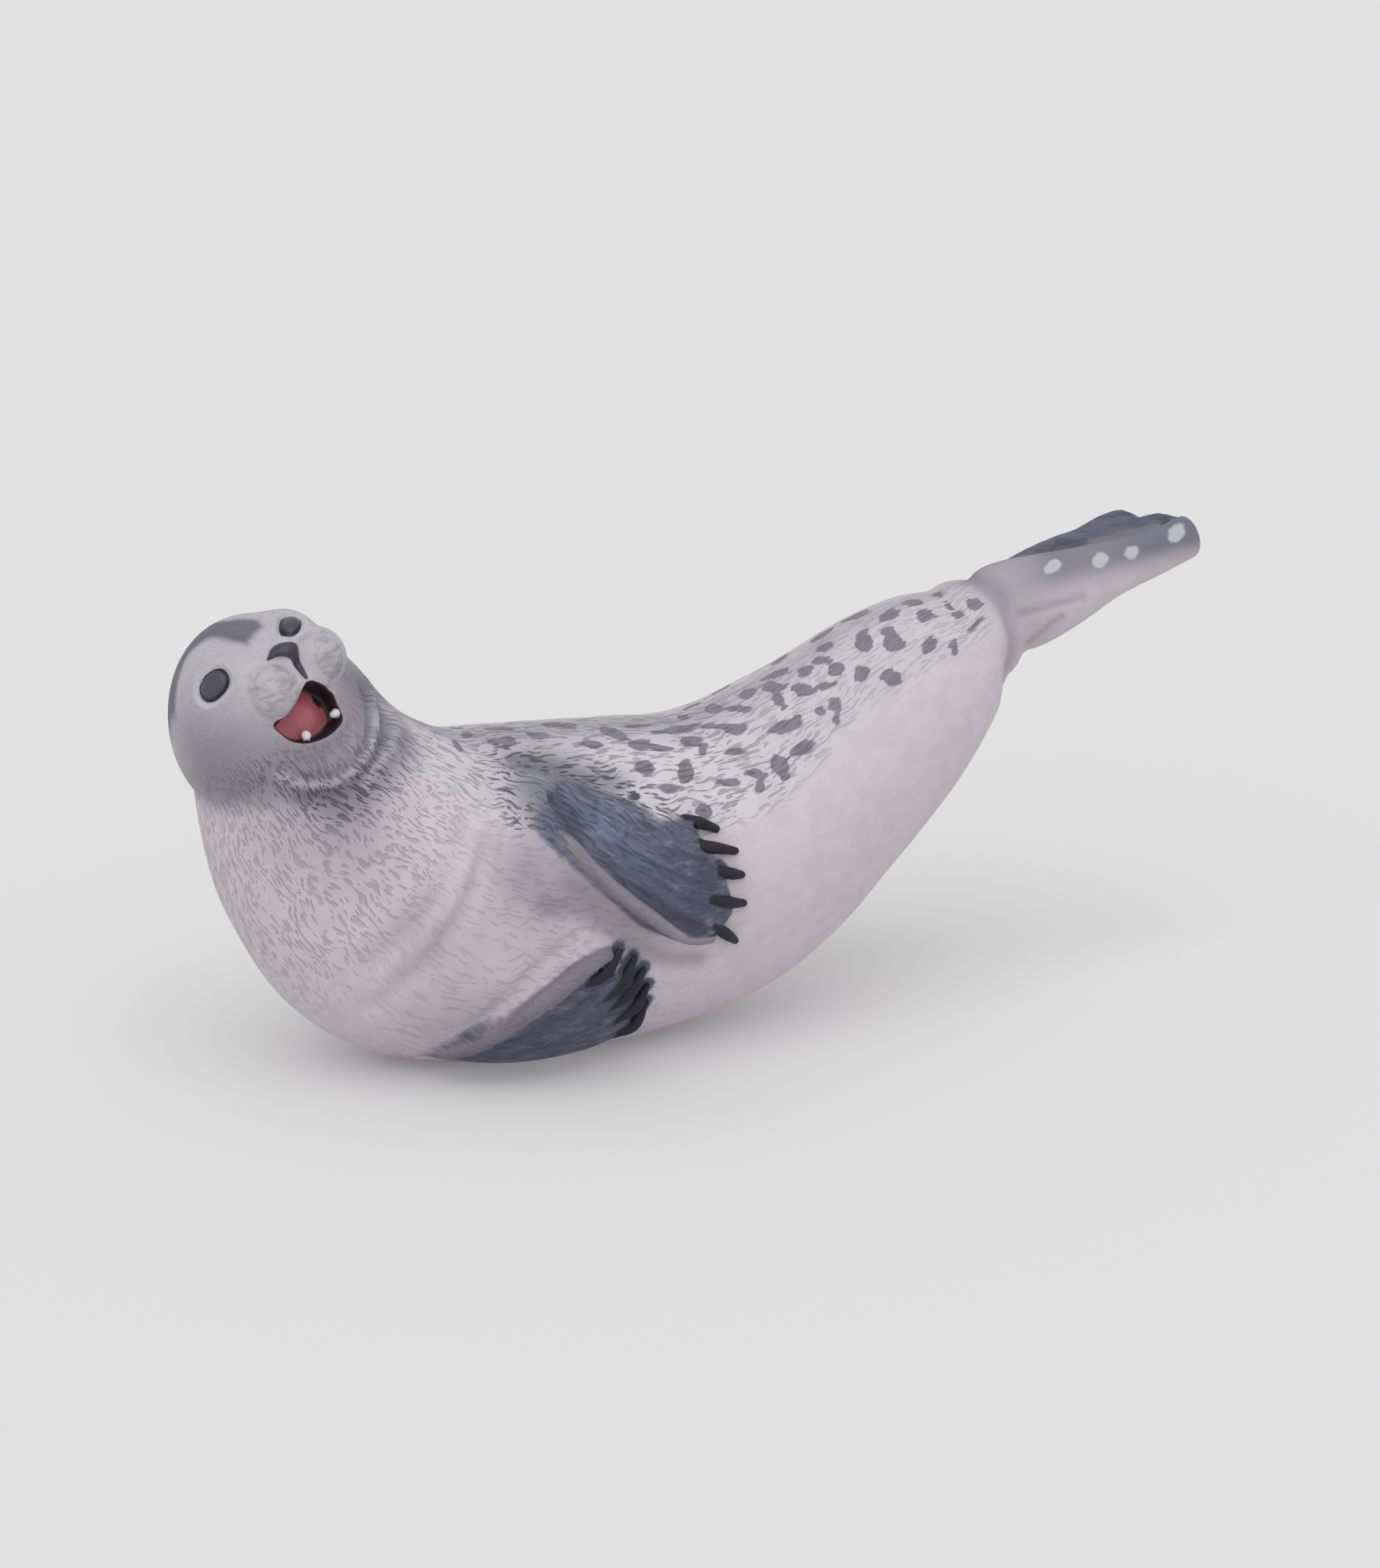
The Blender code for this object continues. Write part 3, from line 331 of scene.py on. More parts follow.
class Tube:
    """A round-ended tube with an elliptical section that changes along a smooth line."""

    def __init__(self, rows, outward, count=60):
        """Rows hold a centre, a half thickness along outward, a half width across it and, where it
        differs, the half thickness on the other side."""
        rows = [row if len(row) == 6 else (*row, row[3]) for row in rows]
        outward = np.broadcast_to(np.asarray(outward, float), (len(rows), 3))
        rows = even_rows(np.column_stack([rows, outward]), count)
        self.centres = rows[:, :3]
        self.radii = rows[:, 3:6]
        self.along = unit(np.gradient(self.centres, axis=0))
        self.across = unit(np.cross(self.along, rows[:, 6:9]))
        self.outward = np.cross(self.across, self.along)
        self.last = count - 1
        self.middle = (self.centres.min(0) + self.centres.max(0)) / 2
        self.reach = np.linalg.norm(self.centres - self.middle, axis=1).max() + self.radii.max() + 5.0

    def place(self, points):
        """Where along the line each point is, as a sample number with its fraction."""
        reach = (self.centres**2).sum(1)
        nearest = np.concatenate([
            (reach - 2.0 * some @ self.centres.T).argmin(1)
            for some in np.array_split(points, len(points) // 50000 + 1)
        ])
        ahead = ((points - self.centres[nearest]) * self.along[nearest]).sum(1)
        start = np.clip(np.where(ahead > 0, nearest, nearest - 1), 0, self.last - 1)
        before = ((points - self.centres[start]) * self.along[start]).sum(1)
        after = ((points - self.centres[start + 1]) * self.along[start + 1]).sum(1)
        return start + np.clip(before / np.maximum(before - after, 1e-6), 0.0, 1.0)

    def section(self, place):
        """Centre, outward, across and along directions, and radii at a place on the line."""
        i = np.minimum(np.asarray(place).astype(int), len(self.centres) - 2)
        t = (place - i)[..., None]
        rows = (self.centres, self.outward, self.across, self.along, self.radii)
        return [values[i] * (1 - t) + values[i + 1] * t for values in rows]

    def gap(self, points):
        """Distance from each point to the tube's skin."""
        centre, outward, across, along, radii = self.section(self.place(points))
        offset = points - centre
        local = np.stack([(offset * axis).sum(1) for axis in (outward, across, along)], axis=1)
        thick = np.where(local[:, 0] > 0, radii[:, 0], radii[:, 2])
        return ellipsoid_gap(local, np.column_stack([thick, radii[:, 1], radii.min(1)]))

    def skin_point(self, share, angle, height=0.0):
        """A point at that share, angle and height above the skin, and the way out of the skin there."""
        centre, outward, across, _, radii = self.section(np.asarray(share * self.last))
        c, s = math.cos(math.radians(angle)), math.sin(math.radians(angle))
        thick = radii[0] if s > 0 else radii[2]
        way = unit(outward * s / thick + across * c / radii[1])
        return centre + outward * s * thick + across * c * radii[1] + way * height, way


class Fold:
    """A line on the skin along which it is carved or raised."""

    def __init__(self, points, depth, half_width):
        self.centres = even_rows(points, 14)
        self.depth, self.half_width = depth, half_width
        self.middle = (self.centres.min(0) + self.centres.max(0)) / 2
        self.reach = np.linalg.norm(self.centres - self.middle, axis=1).max() + 3.0 * half_width

    def carve(self, points):
        """How far the skin is moved inwards at each point."""
        best = np.full(len(points), np.inf)
        for start, end in zip(self.centres[:-1], self.centres[1:]):
            step = end - start
            offset = points - start
            share = np.clip(offset @ step / (step @ step), 0.0, 1.0)
            best = np.minimum(best, ((offset - share[:, None] * step) ** 2).sum(1))
        return self.depth * np.exp(-best / self.half_width**2)


def head_axes():
    """The head's own axes as rows: towards its left, forwards and upwards."""
    turn, lift, tilt = (math.radians(a) for a in (HEAD_TURN, HEAD_LIFT, HEAD_TILT))
    forward = np.array([math.sin(turn) * math.cos(lift), -math.cos(turn) * math.cos(lift), math.sin(lift)])
    level_left = np.array([math.cos(turn), math.sin(turn), 0.0])
    level_up = np.cross(forward, level_left)
    left = level_left * math.cos(tilt) + level_up * math.sin(tilt)
    return np.array([left, forward, np.cross(forward, left)])


def lying_tube(rows):
    """A flattened tube that lies on the body's skin."""
    found = [BODY.skin_point(share, angle, height) for share, angle, height, _, _ in rows]
    sizes = [row[3:] for row in rows]
    return Tube([(*point, *size) for (point, _), size in zip(found, sizes)], [way for _, way in found], 30)


def lying_digit(places):
    """A bone of a flipper, from inside the palm to the root of its claw."""
    low, mid, end = DIGIT_SIZE
    sizes = ((0.1, mid), (low + 0.1, mid), (low, end))
    return lying_tube([(*place, lift, size, size) for place, (lift, size) in zip(places, sizes)])


def lying_claw(places, sizes):
    """A claw that tapers to its tip, with its back raised off the skin."""
    return lying_tube([(*place, lift, size, size) for place, lift, size in zip(places, CLAW_LIFT, sizes)])


BODY = Tube(BODY_LINE, (0.0, 0.0, 1.0))
HEAD_AXES = head_axes()
HIND_FACE = (0.0, -1.0, 0.25)
HIND = [Tube(rows, HIND_FACE, 30) for rows in (NEAR_HIND, FAR_HIND, HIND_WEB)]
WEBS = [Tube(rows, HIND_FACE, 20) for rows in WEB_FOLDS]
PALMS = [lying_tube(rows) for rows in (LEFT_PALM, RIGHT_PALM)]
RIDGES = [lying_tube(rows) for rows in (LEFT_RIDGE, RIGHT_RIDGE)]
DIGITS = [lying_digit(places) for places in LEFT_DIGITS + RIGHT_DIGITS]
CLAWS = [lying_claw(places, LEFT_CLAW_SIZE) for places in LEFT_CLAWS]
CLAWS += [lying_claw(places, RIGHT_CLAW_SIZE) for places in RIGHT_CLAWS]


def in_head(points):
    """Points in the head's own axes, measured from its middle."""
    return (points - np.array(HEAD_CENTRE)) @ HEAD_AXES.T


def outline_gap(points, corners):
    """Distance in a plane to an outline of straight sides, below zero inside it."""
    best = np.full(len(points), np.inf)
    inside = np.zeros(len(points), bool)
    for (ax, ay), (bx, by) in zip(corners, corners[1:] + corners[:1]):
        x, y, ex, ey = points[:, 0] - ax, points[:, 1] - ay, bx - ax, by - ay
        share = np.clip((x * ex + y * ey) / (ex * ex + ey * ey), 0.0, 1.0)
        best = np.minimum(best, (x - share * ex) ** 2 + (y - share * ey) ** 2)
        crossed = (y >= 0) != (y >= ey)
        inside ^= crossed & (x < y * ex / (ey if ey else 1e-9))
    return np.where(inside, -1.0, 1.0) * np.sqrt(best)


def head_gap(points):
    """Distance to the head before its eyes, nose and mouth are added."""
    p = in_head(points)
    head = ellipsoid_gap(p, SKULL)
    head = smooth_union(head, ellipsoid_gap(p - MUZZLE[0], MUZZLE[1]), MUZZLE_BLEND)
    for middle, radii in (BRIDGE, BROW):
        head = smooth_union(head, ellipsoid_gap(p - middle, radii), BRIDGE_BLEND)
    for middle, radii in PADS:
        head = smooth_union(head, ellipsoid_gap(p - middle, radii), PAD_BLEND)
    return smooth_union(head, ellipsoid_gap(p - JAW[0], JAW[1]), JAW_BLEND)


def add_near(skin, points, gap, middle, reach, blend):
    """The skin joined with a small form, which is worked out only near it."""
    near = np.flatnonzero(((points - np.array(middle)) ** 2).sum(1) < reach**2)
    if len(near):
        skin[near] = smooth_union(skin[near], gap(points[near]), blend)
    return skin


def bare_form(points):
    """Distance to the skin without flippers, folds or face."""
    skin = BODY.gap(points)
    skin = smooth_union(skin, ellipsoid_gap(points - NAPE[0], NAPE[1]), NAPE_BLEND)
    skin = add_near(skin, points, head_gap, HEAD_CENTRE, 3.0 * max(SKULL), HEAD_BLEND)
    for tube in HIND:
        skin = add_near(skin, points, tube.gap, tube.middle, tube.reach, HIND_BLEND)
    return joined(skin, points, WEBS, WEB_BLEND)


def eye_gap(p, middle, size, lean):
    """Distance from head points to an eye's edge, below zero on the eye."""
    way = unit(middle)
    side = unit(np.cross(way, (0.0, 0.0, 1.0)))
    c, s = math.cos(math.radians(lean)), math.sin(math.radians(lean))
    wide, high = p @ side, p @ np.cross(side, way)
    wide, high = (wide * c - high * s) / size[0], (wide * s + high * c) / size[1]
    edge = (np.abs(wide) ** 2.3 + np.abs(high) ** 2.3) ** (1 / 2.3) - 1.0
    return np.where(p @ way > 0, edge, 9.0) * min(size)


def add_face(skin, p):
    """The skin near the head with the eyes, the nose and the open mouth."""
    for eye in EYES:
        edge = eye_gap(p, *eye)
        dome = np.sqrt(np.clip(-edge, 0.0, None) / min(eye[1]))
        lid = np.exp(-(((edge - 0.6) / 0.4) ** 2))
        skin = skin + EYE_GROOVE * np.exp(-((edge / 0.22) ** 2)) - EYE_BULGE * dome - LID_RISE * lid
    front = np.clip(p[:, 1] - 3.0, 0.0, 1.0)
    nose = outline_gap(p[:, ::2], NOSE)
    tip = np.clip((p[:, 2] - 1.6) / 1.0, 0.0, 1.0)
    lift = NOSE_RISE * tip - PHILTRUM_DEPTH * (1.0 - tip)
    skin = skin - front * lift * np.clip(0.5 - nose / 0.6, 0.0, 1.0)
    outline = outline_gap(p[:, ::2], MOUTH)
    middle, size, height = TONGUE
    across, up = (p[:, 0] - middle[0]) / size[0], (p[:, 2] - middle[1]) / size[1]
    tongue = height * np.exp(-(across**2) - up**2)
    skin = smooth_cut(skin, -smooth_union(-outline, p[:, 1] - MOUTH_FLOOR - tongue, 0.7), MOUTH_BLEND)
    return skin - LIP_RISE * front * np.exp(-(((outline - 0.35) / 0.35) ** 2))


def joined(skin, points, tubes, blend):
    """The skin joined with tubes that are small beside it."""
    for tube in tubes:
        skin = add_near(skin, points, tube.gap, tube.middle, tube.reach, blend)
    return skin


def carved(skin, points, folds):
    """The skin with folds carved into it."""
    for fold in folds:
        near = np.flatnonzero(((points - fold.middle) ** 2).sum(1) < fold.reach**2)
        if len(near):
            skin[near] += fold.carve(points[near])
    return skin


def form(points):
    """Distance from each point to the skin, below zero inside."""
    skin = carved(bare_form(points), points, FOLDS)
    for tubes, blend in ((PALMS, PALM_BLEND), (DIGITS, DIGIT_BLEND)):
        skin = joined(skin, points, tubes, blend)
    skin = carved(skin, points, GROOVES)
    for tubes, blend in ((RIDGES, RIDGE_BLEND), (CLAWS, CLAW_BLEND)):
        skin = joined(skin, points, tubes, blend)
    p = in_head(points)
    near = np.flatnonzero((p**2).sum(1) < (2.0 * max(SKULL)) ** 2)
    if len(near):
        skin[near] = add_face(skin[near], p[near])
    return skin


def read_surface(field, low, high, step):
    """The field's zero surface: four-cornered faces, with one point in each cell that it crosses."""
    values = near_values(field, low, high, step)
    corners = [(i, j, k) for i in (0, 1) for j in (0, 1) for k in (0, 1)]
    edges = [
        (a, b) for a in corners for b in corners
        if sum(b) - sum(a) == 1 and all(x <= y for x, y in zip(a, b))
    ]
    cells = tuple(n - 1 for n in values.shape)

    def at(corner):
        return values[tuple(slice(c, c + n) for c, n in zip(corner, cells))]

    total = np.zeros(cells + (3,))
    hits = np.zeros(cells)
    for a, b in edges:
        va, vb = at(a), at(b)
        crossed = (va < 0) != (vb < 0)
        share = np.where(crossed, va / np.where(crossed, va - vb, 1.0), 0.0)
        for axis in range(3):
            total[..., axis] += np.where(crossed, a[axis] + share * (b[axis] - a[axis]), 0.0)
        hits += crossed
    used = hits > 0
    number = np.full(cells, -1)
    number[used] = np.arange(used.sum())
    points = (np.argwhere(used) + total[used] / hits[used][:, None]) * step + np.array(low)
    faces = []
    for axis in range(3):
        u, v = (axis + 1) % 3, (axis + 2) % 3
        low_end = [slice(1, -1)] * 3
        high_end = [slice(1, -1)] * 3
        low_end[axis] = slice(0, -1)
        high_end[axis] = slice(1, None)
        start, end = values[tuple(low_end)] < 0, values[tuple(high_end)] < 0
        for inside_first in (True, False):
            where = np.argwhere(start & ~end if inside_first else ~start & end)
            where[:, u] += 1
            where[:, v] += 1
            ring = []
            for du, dv in ((-1, -1), (0, -1), (0, 0), (-1, 0)):
                cell = where.copy()
                cell[:, u] += du
                cell[:, v] += dv
                ring.append(number[tuple(cell.T)])
            quad = np.stack(ring, axis=1)
            faces.append(quad if inside_first else quad[:, ::-1])
    return settle(field, points), np.concatenate(faces)


def near_values(field, low, high, step, levels=3):
    """The field on a grid, worked out closely near the skin and more coarsely away from it."""
    values, old = None, None
    for level in reversed(range(levels)):
        size = step * 2**level
        axes = [a + size * np.arange(int((b - a) / step) // 2**level + 1) for a, b in zip(low, high)]
        grid = np.stack(np.meshgrid(*axes, indexing="ij"), axis=-1)
        if values is None:
            values = field(grid.reshape(-1, 3)).reshape(grid.shape[:3])
        else:
            for axis, old_size in enumerate(old):
                index = np.minimum((np.arange(len(axes[axis])) + 1) // 2, old_size - 1)
                values = np.take(values, index, axis=axis)
            near = np.abs(values) < 2.6 * size
            values[near] = field(grid[near])
        old = values.shape
    return values


def outermost(points, faces):
    """The largest connected surface, without the skins of pockets that lie closed inside it."""
    group = np.arange(len(points))
    while True:
        lowest = group[faces].min(1)
        fresh = group.copy()
        for corner in faces.T:
            np.minimum.at(fresh, corner, lowest)
        fresh = fresh[fresh]
        if (fresh == group).all():
            break
        group = fresh
    kept = group == np.bincount(group).argmax()
    number = np.cumsum(kept) - 1
    return points[kept], number[faces[kept[faces[:, 0]]]]


def settle(field, points, rounds=2, reach=0.02):
    """Points moved along the field's slope onto its zero surface."""
    value = field(points)
    slope = np.stack([field(points + reach * axis) - value for axis in np.eye(3)], axis=1) / reach
    slope /= np.maximum((slope**2).sum(1), 0.25)[:, None]
    for _ in range(rounds):
        points = points - slope * value[:, None]
        value = field(points)
    return points


def fold_lines():
    """The folds of the chest, the chin and the rump, laid on the bare skin."""
    lines = [([BODY.skin_point(*place)[0] for place in places], *size) for places, *size in BODY_FOLDS]
    lines += [(np.array(HEAD_CENTRE) + np.array(places) @ HEAD_AXES, *size) for places, *size in HEAD_FOLDS]
    return [Fold(settle(bare_form, np.array(line)), *size) for line, *size in lines + HIND_FOLDS]


def flipper_grooves():
    """The grooves that are carved into the flippers."""
    return [
        Fold([BODY.skin_point(*place)[0] for place in places], *size) for places, *size in FLIPPER_FOLDS
    ]


# Lines of darker strokes: above the left fore flipper, at its root and across the neck.
INK_LINE = [
    (-17.2, -4.7, 26.6), (-14.3, -6.5, 25.8), (-11.5, -7.9, 24.9), (-8.7, -9.4, 23.7), (-6.7, -11.6, 22.6),
]
INK_ROOT = [(-19.0, -6.5, 26.0), (-18.8, -9.0, 25.0), (-18.6, -11.0, 22.8)]
NECK_LINE = [
    (-38.7, -8.4, 28.7), (-36.5, -9.5, 27.4), (-33.9, -10.5, 26.4), (-31.9, -10.3, 27.4), (-29.4, -8.8, 29.0),
]

# Painted spots: millimetres along the body, angle round it, half length, half width and lean.
SPOTS = [
    (75.5, 52.0, 0.7, 0.64, -63), (74.2, 34.9, 1.01, 0.27, 8), (73.8, 64.2, 0.69, 0.23, 86),
    (73.8, 52.5, 0.62, 0.47, 23), (71.6, 63.7, 0.84, 0.6, 56), (72.3, 58.7, 0.41, 0.34, -19),
    (74.1, 89.5, 0.78, 0.49, 82), (71.8, 83.5, 0.76, 0.72, -41), (69.4, 78.9, 1.09, 0.83, 33),
    (69.8, 41.1, 0.99, 0.56, 13), (71.5, 31.1, 0.78, 0.36, 47), (66.0, 69.6, 1.3, 0.81, 63),
    (68.1, 65.0, 0.71, 0.58, -54), (67.7, 55.8, 0.93, 0.8, -44), (63.7, 53.3, 0.88, 0.75, 50),
    (65.4, 39.9, 0.89, 0.76, -49), (60.2, 77.8, 0.84, 0.62, 4), (62.0, 78.5, 1.26, 0.53, -56),
    (62.4, 65.3, 0.91, 0.83, 86), (63.3, 85.2, 0.96, 0.75, -27), (58.2, 89.5, 1.56, 0.65, -23),
    (54.8, 87.7, 0.85, 0.79, -56), (57.0, 81.0, 1.27, 0.71, -48), (56.3, 70.6, 1.26, 0.54, 81),
    (58.7, 67.7, 1.25, 0.73, -60), (60.4, 62.2, 1.03, 0.41, -21), (59.8, 49.2, 0.74, 0.69, 29),
    (59.1, 43.4, 0.64, 0.42, 44), (58.5, 50.8, 0.49, 0.41, -34), (54.9, 55.8, 1.38, 0.62, -24),
    (56.3, 55.4, 0.55, 0.45, 49), (51.0, 89.9, 1.1, 0.91, 85), (52.9, 80.8, 1.43, 0.45, -45),
    (50.3, 73.6, 2.48, 0.5, -29), (51.0, 68.9, 1.34, 0.66, -27), (45.5, 81.7, 2.31, 0.55, -2),
    (47.4, 91.2, 0.83, 0.61, -25), (45.7, 70.7, 1.53, 0.71, -4), (46.1, 64.9, 0.99, 0.5, 43),
    (49.2, 58.2, 1.49, 0.43, -19), (54.9, 42.1, 1.2, 0.66, -14), (52.0, 41.5, 1.25, 0.83, 73),
    (49.5, 44.3, 1.04, 0.47, -28), (49.0, 38.4, 0.73, 0.43, 46), (46.3, 45.9, 1.39, 0.4, -15),
    (42.5, 54.9, 1.5, 0.79, 47), (42.1, 36.7, 0.92, 0.67, 15), (20.2, 80.2, 1.28, 0.54, 1),
    (22.8, 80.9, 1.47, 0.85, 33), (27.6, 83.6, 1.66, 0.84, -8), (32.6, 91.0, 1.21, 0.67, 4),
    (30.6, 94.0, 1.24, 0.81, 3), (33.4, 74.2, 1.75, 0.65, 1), (37.6, 81.9, 1.78, 1.07, -48),
    (39.6, 71.9, 1.29, 0.81, 8), (41.2, 69.0, 1.43, 0.52, -15), (44.7, 80.3, 2.96, 0.55, 1),
    (41.0, 86.1, 1.87, 0.54, -4), (38.6, 59.1, 1.23, 0.75, 9), (39.7, 48.6, 1.38, 0.5, -7),
    (17.2, 89.8, 1.36, 0.62, 40), (14.1, 74.3, 1.15, 0.56, 79), (22.9, 93.1, 2.27, 0.63, -6),
    (22.6, 68.8, 2.01, 0.78, 4),
]

# Pale dots on the hind flipper: middle, half length and half height.
HIND_DOTS = [
    ((33.0, -2.2, 36.9), 0.85, 0.42), ((37.3, -2.8, 37.1), 0.80, 0.52), ((40.3, -2.9, 37.5), 0.68, 0.48),
    ((44.9, -2.4, 38.6), 0.95, 0.60),
]
# Teeth: middle in the head's axes and half sizes.
TEETH = [((-1.6, 6.1, -3.8), (0.38, 0.42, 0.42)), ((1.75, 6.2, -3.60), (0.46, 0.42, 0.34))]
# Outline of the dark crown, to the left and forwards in the head's axes.
CROWN = [
    (-3.6, -0.5), (-2.4, 1.4), (-2.2, 3.7), (-1.7, 5.1), (0.9, 4.8), (1.4, 3.6), (0.2, 1.5), (0.5, -1.5),
    (-1.0, -6.0), (-6.0, -6.0), (-6.5, -2.0),
]

# Paints as display colours from 0 to 255, with the painted shade of the left fore flipper's groove among
# them.
PALETTE = {
    "mottle": (146, 143, 154), "spot": (128, 121, 133), "stroke": (84, 80, 94), "blue_low": (88, 92, 114),
    "blue_high": (112, 118, 139), "blue_far": (70, 73, 94), "blue_stroke": (52, 54, 72),
    "groove_shade": (62, 58, 74), "claw": (34, 34, 44), "crumple": (62, 63, 82), "dot": (190, 190, 197),
    "pad_patch": (142, 135, 139), "pad_edge": (198, 193, 200), "nose": (62, 60, 70),
    "throat": (46, 24, 34), "tongue": (178, 98, 108), "mouth_rim": (44, 28, 38), "tooth": (216, 214, 216),
    "lid": (188, 184, 190), "eye_rim": (24, 24, 32), "eye": (72, 74, 86),
}

# Spots on the side that the photograph doesn't show: how many, and the seed that places them.
FAR_SPOTS, FAR_SEED = 42, 7

# Radii that the patterns are wound round: body, head forwards and head sideways.
BODY_ROUND, HEAD_FORWARD, HEAD_ROUND = 13.0, 8.0, 6.0

# The grid that the skin is read from: step, lowest and highest corners.
STEP = 0.42
GRID_LOW = (-47.0, -18.0, -1.0)
GRID_HIGH = (49.0, 16.5, 42.0)

# Washes along lines, the second of them painted shadow: places, half width, amount and tone.
WASH_AND_SHADE_LINES = [
    (NECK_LINE + [(-27.1, -6.0, 30.1)], 1.9, 0.75, (98, 97, 110)),
    # Painted shadow under the ridge of the left fore flipper.
    ([(-9.0, -15.0, 13.6), (-12.0, -14.3, 15.3), (-15.5, -13.6, 18.0)], 1.1, 0.55, (112, 104, 112)),
]
# Soft round washes on the body, some of them painted shade: middle, reach, amount and tone.
WASHES_AND_SHADE = [
    ((-43.4, -5.9, 29.1), 3.0, 0.45, (112, 108, 120)),
    ((-44.5, -4.6, 31.4), 3.0, 0.40, (112, 108, 120)),
    ((-28.7, -2.3, 32.9), 2.6, 0.60, (98, 97, 110)),
    ((-29.3, -0.6, 34.3), 2.2, 0.40, (98, 97, 110)),
    ((-33.8, -10.9, 24.0), 4.5, 0.40, (120, 114, 124)),
    ((-38.9, -8.7, 24.5), 4.0, 0.20, (120, 114, 124)),
    ((-19.5, -13.1, 19.9), 3.2, 0.45, (120, 113, 122)),
    ((-18.5, -13.9, 16.7), 3.0, 0.30, (120, 113, 122)),
    ((-27.7, -13.6, 15.2), 4.0, 0.25, (120, 113, 122)),
    ((27.6, -1.5, 35.8), 2.4, 0.30, (112, 106, 116)),
    ((-14.5, -15.0, 19.0), 4.5, 0.45, (118, 112, 122)),
    ((-16.0, -6.0, 26.0), 4.0, 0.35, (122, 116, 128)),
    # Painted shade between the fore flippers.
    ((-9.0, -13.5, 13.0), 3.0, 0.35, (134, 126, 136)),
    ((-24.1, -10.5, 4.8), 5.0, 0.40, (120, 113, 124)),
    # Painted shade in the crease where the hind flippers leave the rump.
    ((30.1, -4.0, 32.1), 3.0, 0.25, (130, 122, 130)),
]
# Amount and tone along the first folds of the chin, then round washes in the head's axes.
CHIN_WASHES = [
    (0.65, (104, 103, 117)), (0.75, (188, 185, 194)), (0.75, (98, 97, 110)), (0.70, (180, 177, 187)),
]
HEAD_WASHES = [
    ((-6.3, 3.2, -1.6), 2.6, 0.75, (148, 141, 151)),
    ((6.0, 4.8, -1.4), 2.4, 0.85, (128, 125, 137)),
    ((-0.2, 6.4, -7.2), 2.2, 0.45, (139, 131, 142)),
]

# Dark shade at the root of the left fore flipper: middle, reach and amount.
ROOT_SHADE = [
    ((-16.8, -6.6, 26.2), 2.0, 0.75), ((-14.6, -6.6, 26.0), 2.2, 0.75), ((-12.4, -8.2, 25.4), 2.2, 0.70),
    ((-17.4, -9.9, 25.4), 1.8, 0.65), ((-15.4, -10.7, 25.0), 2.2, 0.75), ((-13.2, -11.0, 24.4), 2.2, 0.75),
    ((-9.8, -8.6, 24.6), 1.8, 0.60), ((-17.2, -11.4, 24.0), 1.5, 0.45),
]

# Rings of the whisker pads: to the left, upwards, half width and half height.
PAD_RINGS = [(-2.65, 0.75, 2.05, 2.55), (3.0, 0.75, 1.5, 2.0)]
LENGTH = np.linalg.norm(np.diff(BODY.centres, axis=0), axis=1).sum()


def linear(red, green, blue):
    """A display colour from 0 to 255 as the linear colour that Blender reads."""
    values = np.array([red, green, blue]) / 255.0
    return np.where(values <= 0.04045, values / 12.92, ((values + 0.055) / 1.055) ** 2.4)


def ease(value, low, high):
    """A smooth step from 0 at low to 1 at high."""
    t = np.clip((value - low) / (high - low), 0.0, 1.0)
    return t * t * (3.0 - 2.0 * t)


def near(points, middle, radius):
    """A soft round patch, 1 in its middle."""
    return np.exp(-((points - np.array(middle)) ** 2).sum(1) / radius**2)


def on_body(points):
    """Millimetres along the body, angle round it in degrees and mean radius, for each point."""
    place = BODY.place(points)
    centre, outward, across, along, radii = BODY.section(place)
    offset = points - centre
    high, side, ahead = ((offset * axis).sum(1) for axis in (outward, across, along))
    angle = np.arctan2(high / np.where(high > 0, radii[:, 0], radii[:, 2]), side / radii[:, 1])
    return place / BODY.last * LENGTH + ahead, np.degrees(angle), (radii[:, 0] + radii[:, 1]) / 2


def spot_gap(along, angle, radius, spots):
    """Distance on the skin to the nearest painted spot, below zero inside one."""
    best = np.full(len(along), 9.0)
    for centre, turn, half_length, half_width, lean in spots:
        x = along - centre
        y = np.radians((angle - turn + 180.0) % 360.0 - 180.0) * radius
        c, s = math.cos(math.radians(lean)), math.sin(math.radians(lean))
        a, b = (x * c + y * s) / half_length, (y * c - x * s) / half_width
        best = np.minimum(best, (np.hypot(a, b) - 1.0) * min(half_length, half_width))
    return best


def far_spots(count, seed):
    """Spots for the side that the photograph doesn't show, like those of the side that it does."""
    random = np.random.default_rng(seed)
    found = []
    while len(found) < count:
        centre, turn = random.uniform(16.0, 75.0), random.uniform(100.0, 165.0)
        size = random.uniform(0.6, 1.6), random.uniform(0.45, 0.9)
        apart = [math.hypot(centre - x, (turn - y) * 0.17) for x, y, *_ in found]
        if not apart or min(apart) > 2.2:
            found.append((centre, turn, *size, random.uniform(-50.0, 50.0)))
    return found


def skin(points):
    """The figurine's form with its teeth, cut off flat where it stands."""
    value = form(points)
    p = in_head(points)
    close = np.flatnonzero((p**2).sum(1) < (2.0 * max(SKULL)) ** 2)
    for middle, radii in TEETH:
        value[close] = smooth_union(value[close], ellipsoid_gap(p[close] - np.array(middle), radii), 0.15)
    return np.maximum(value, -points[:, 2])


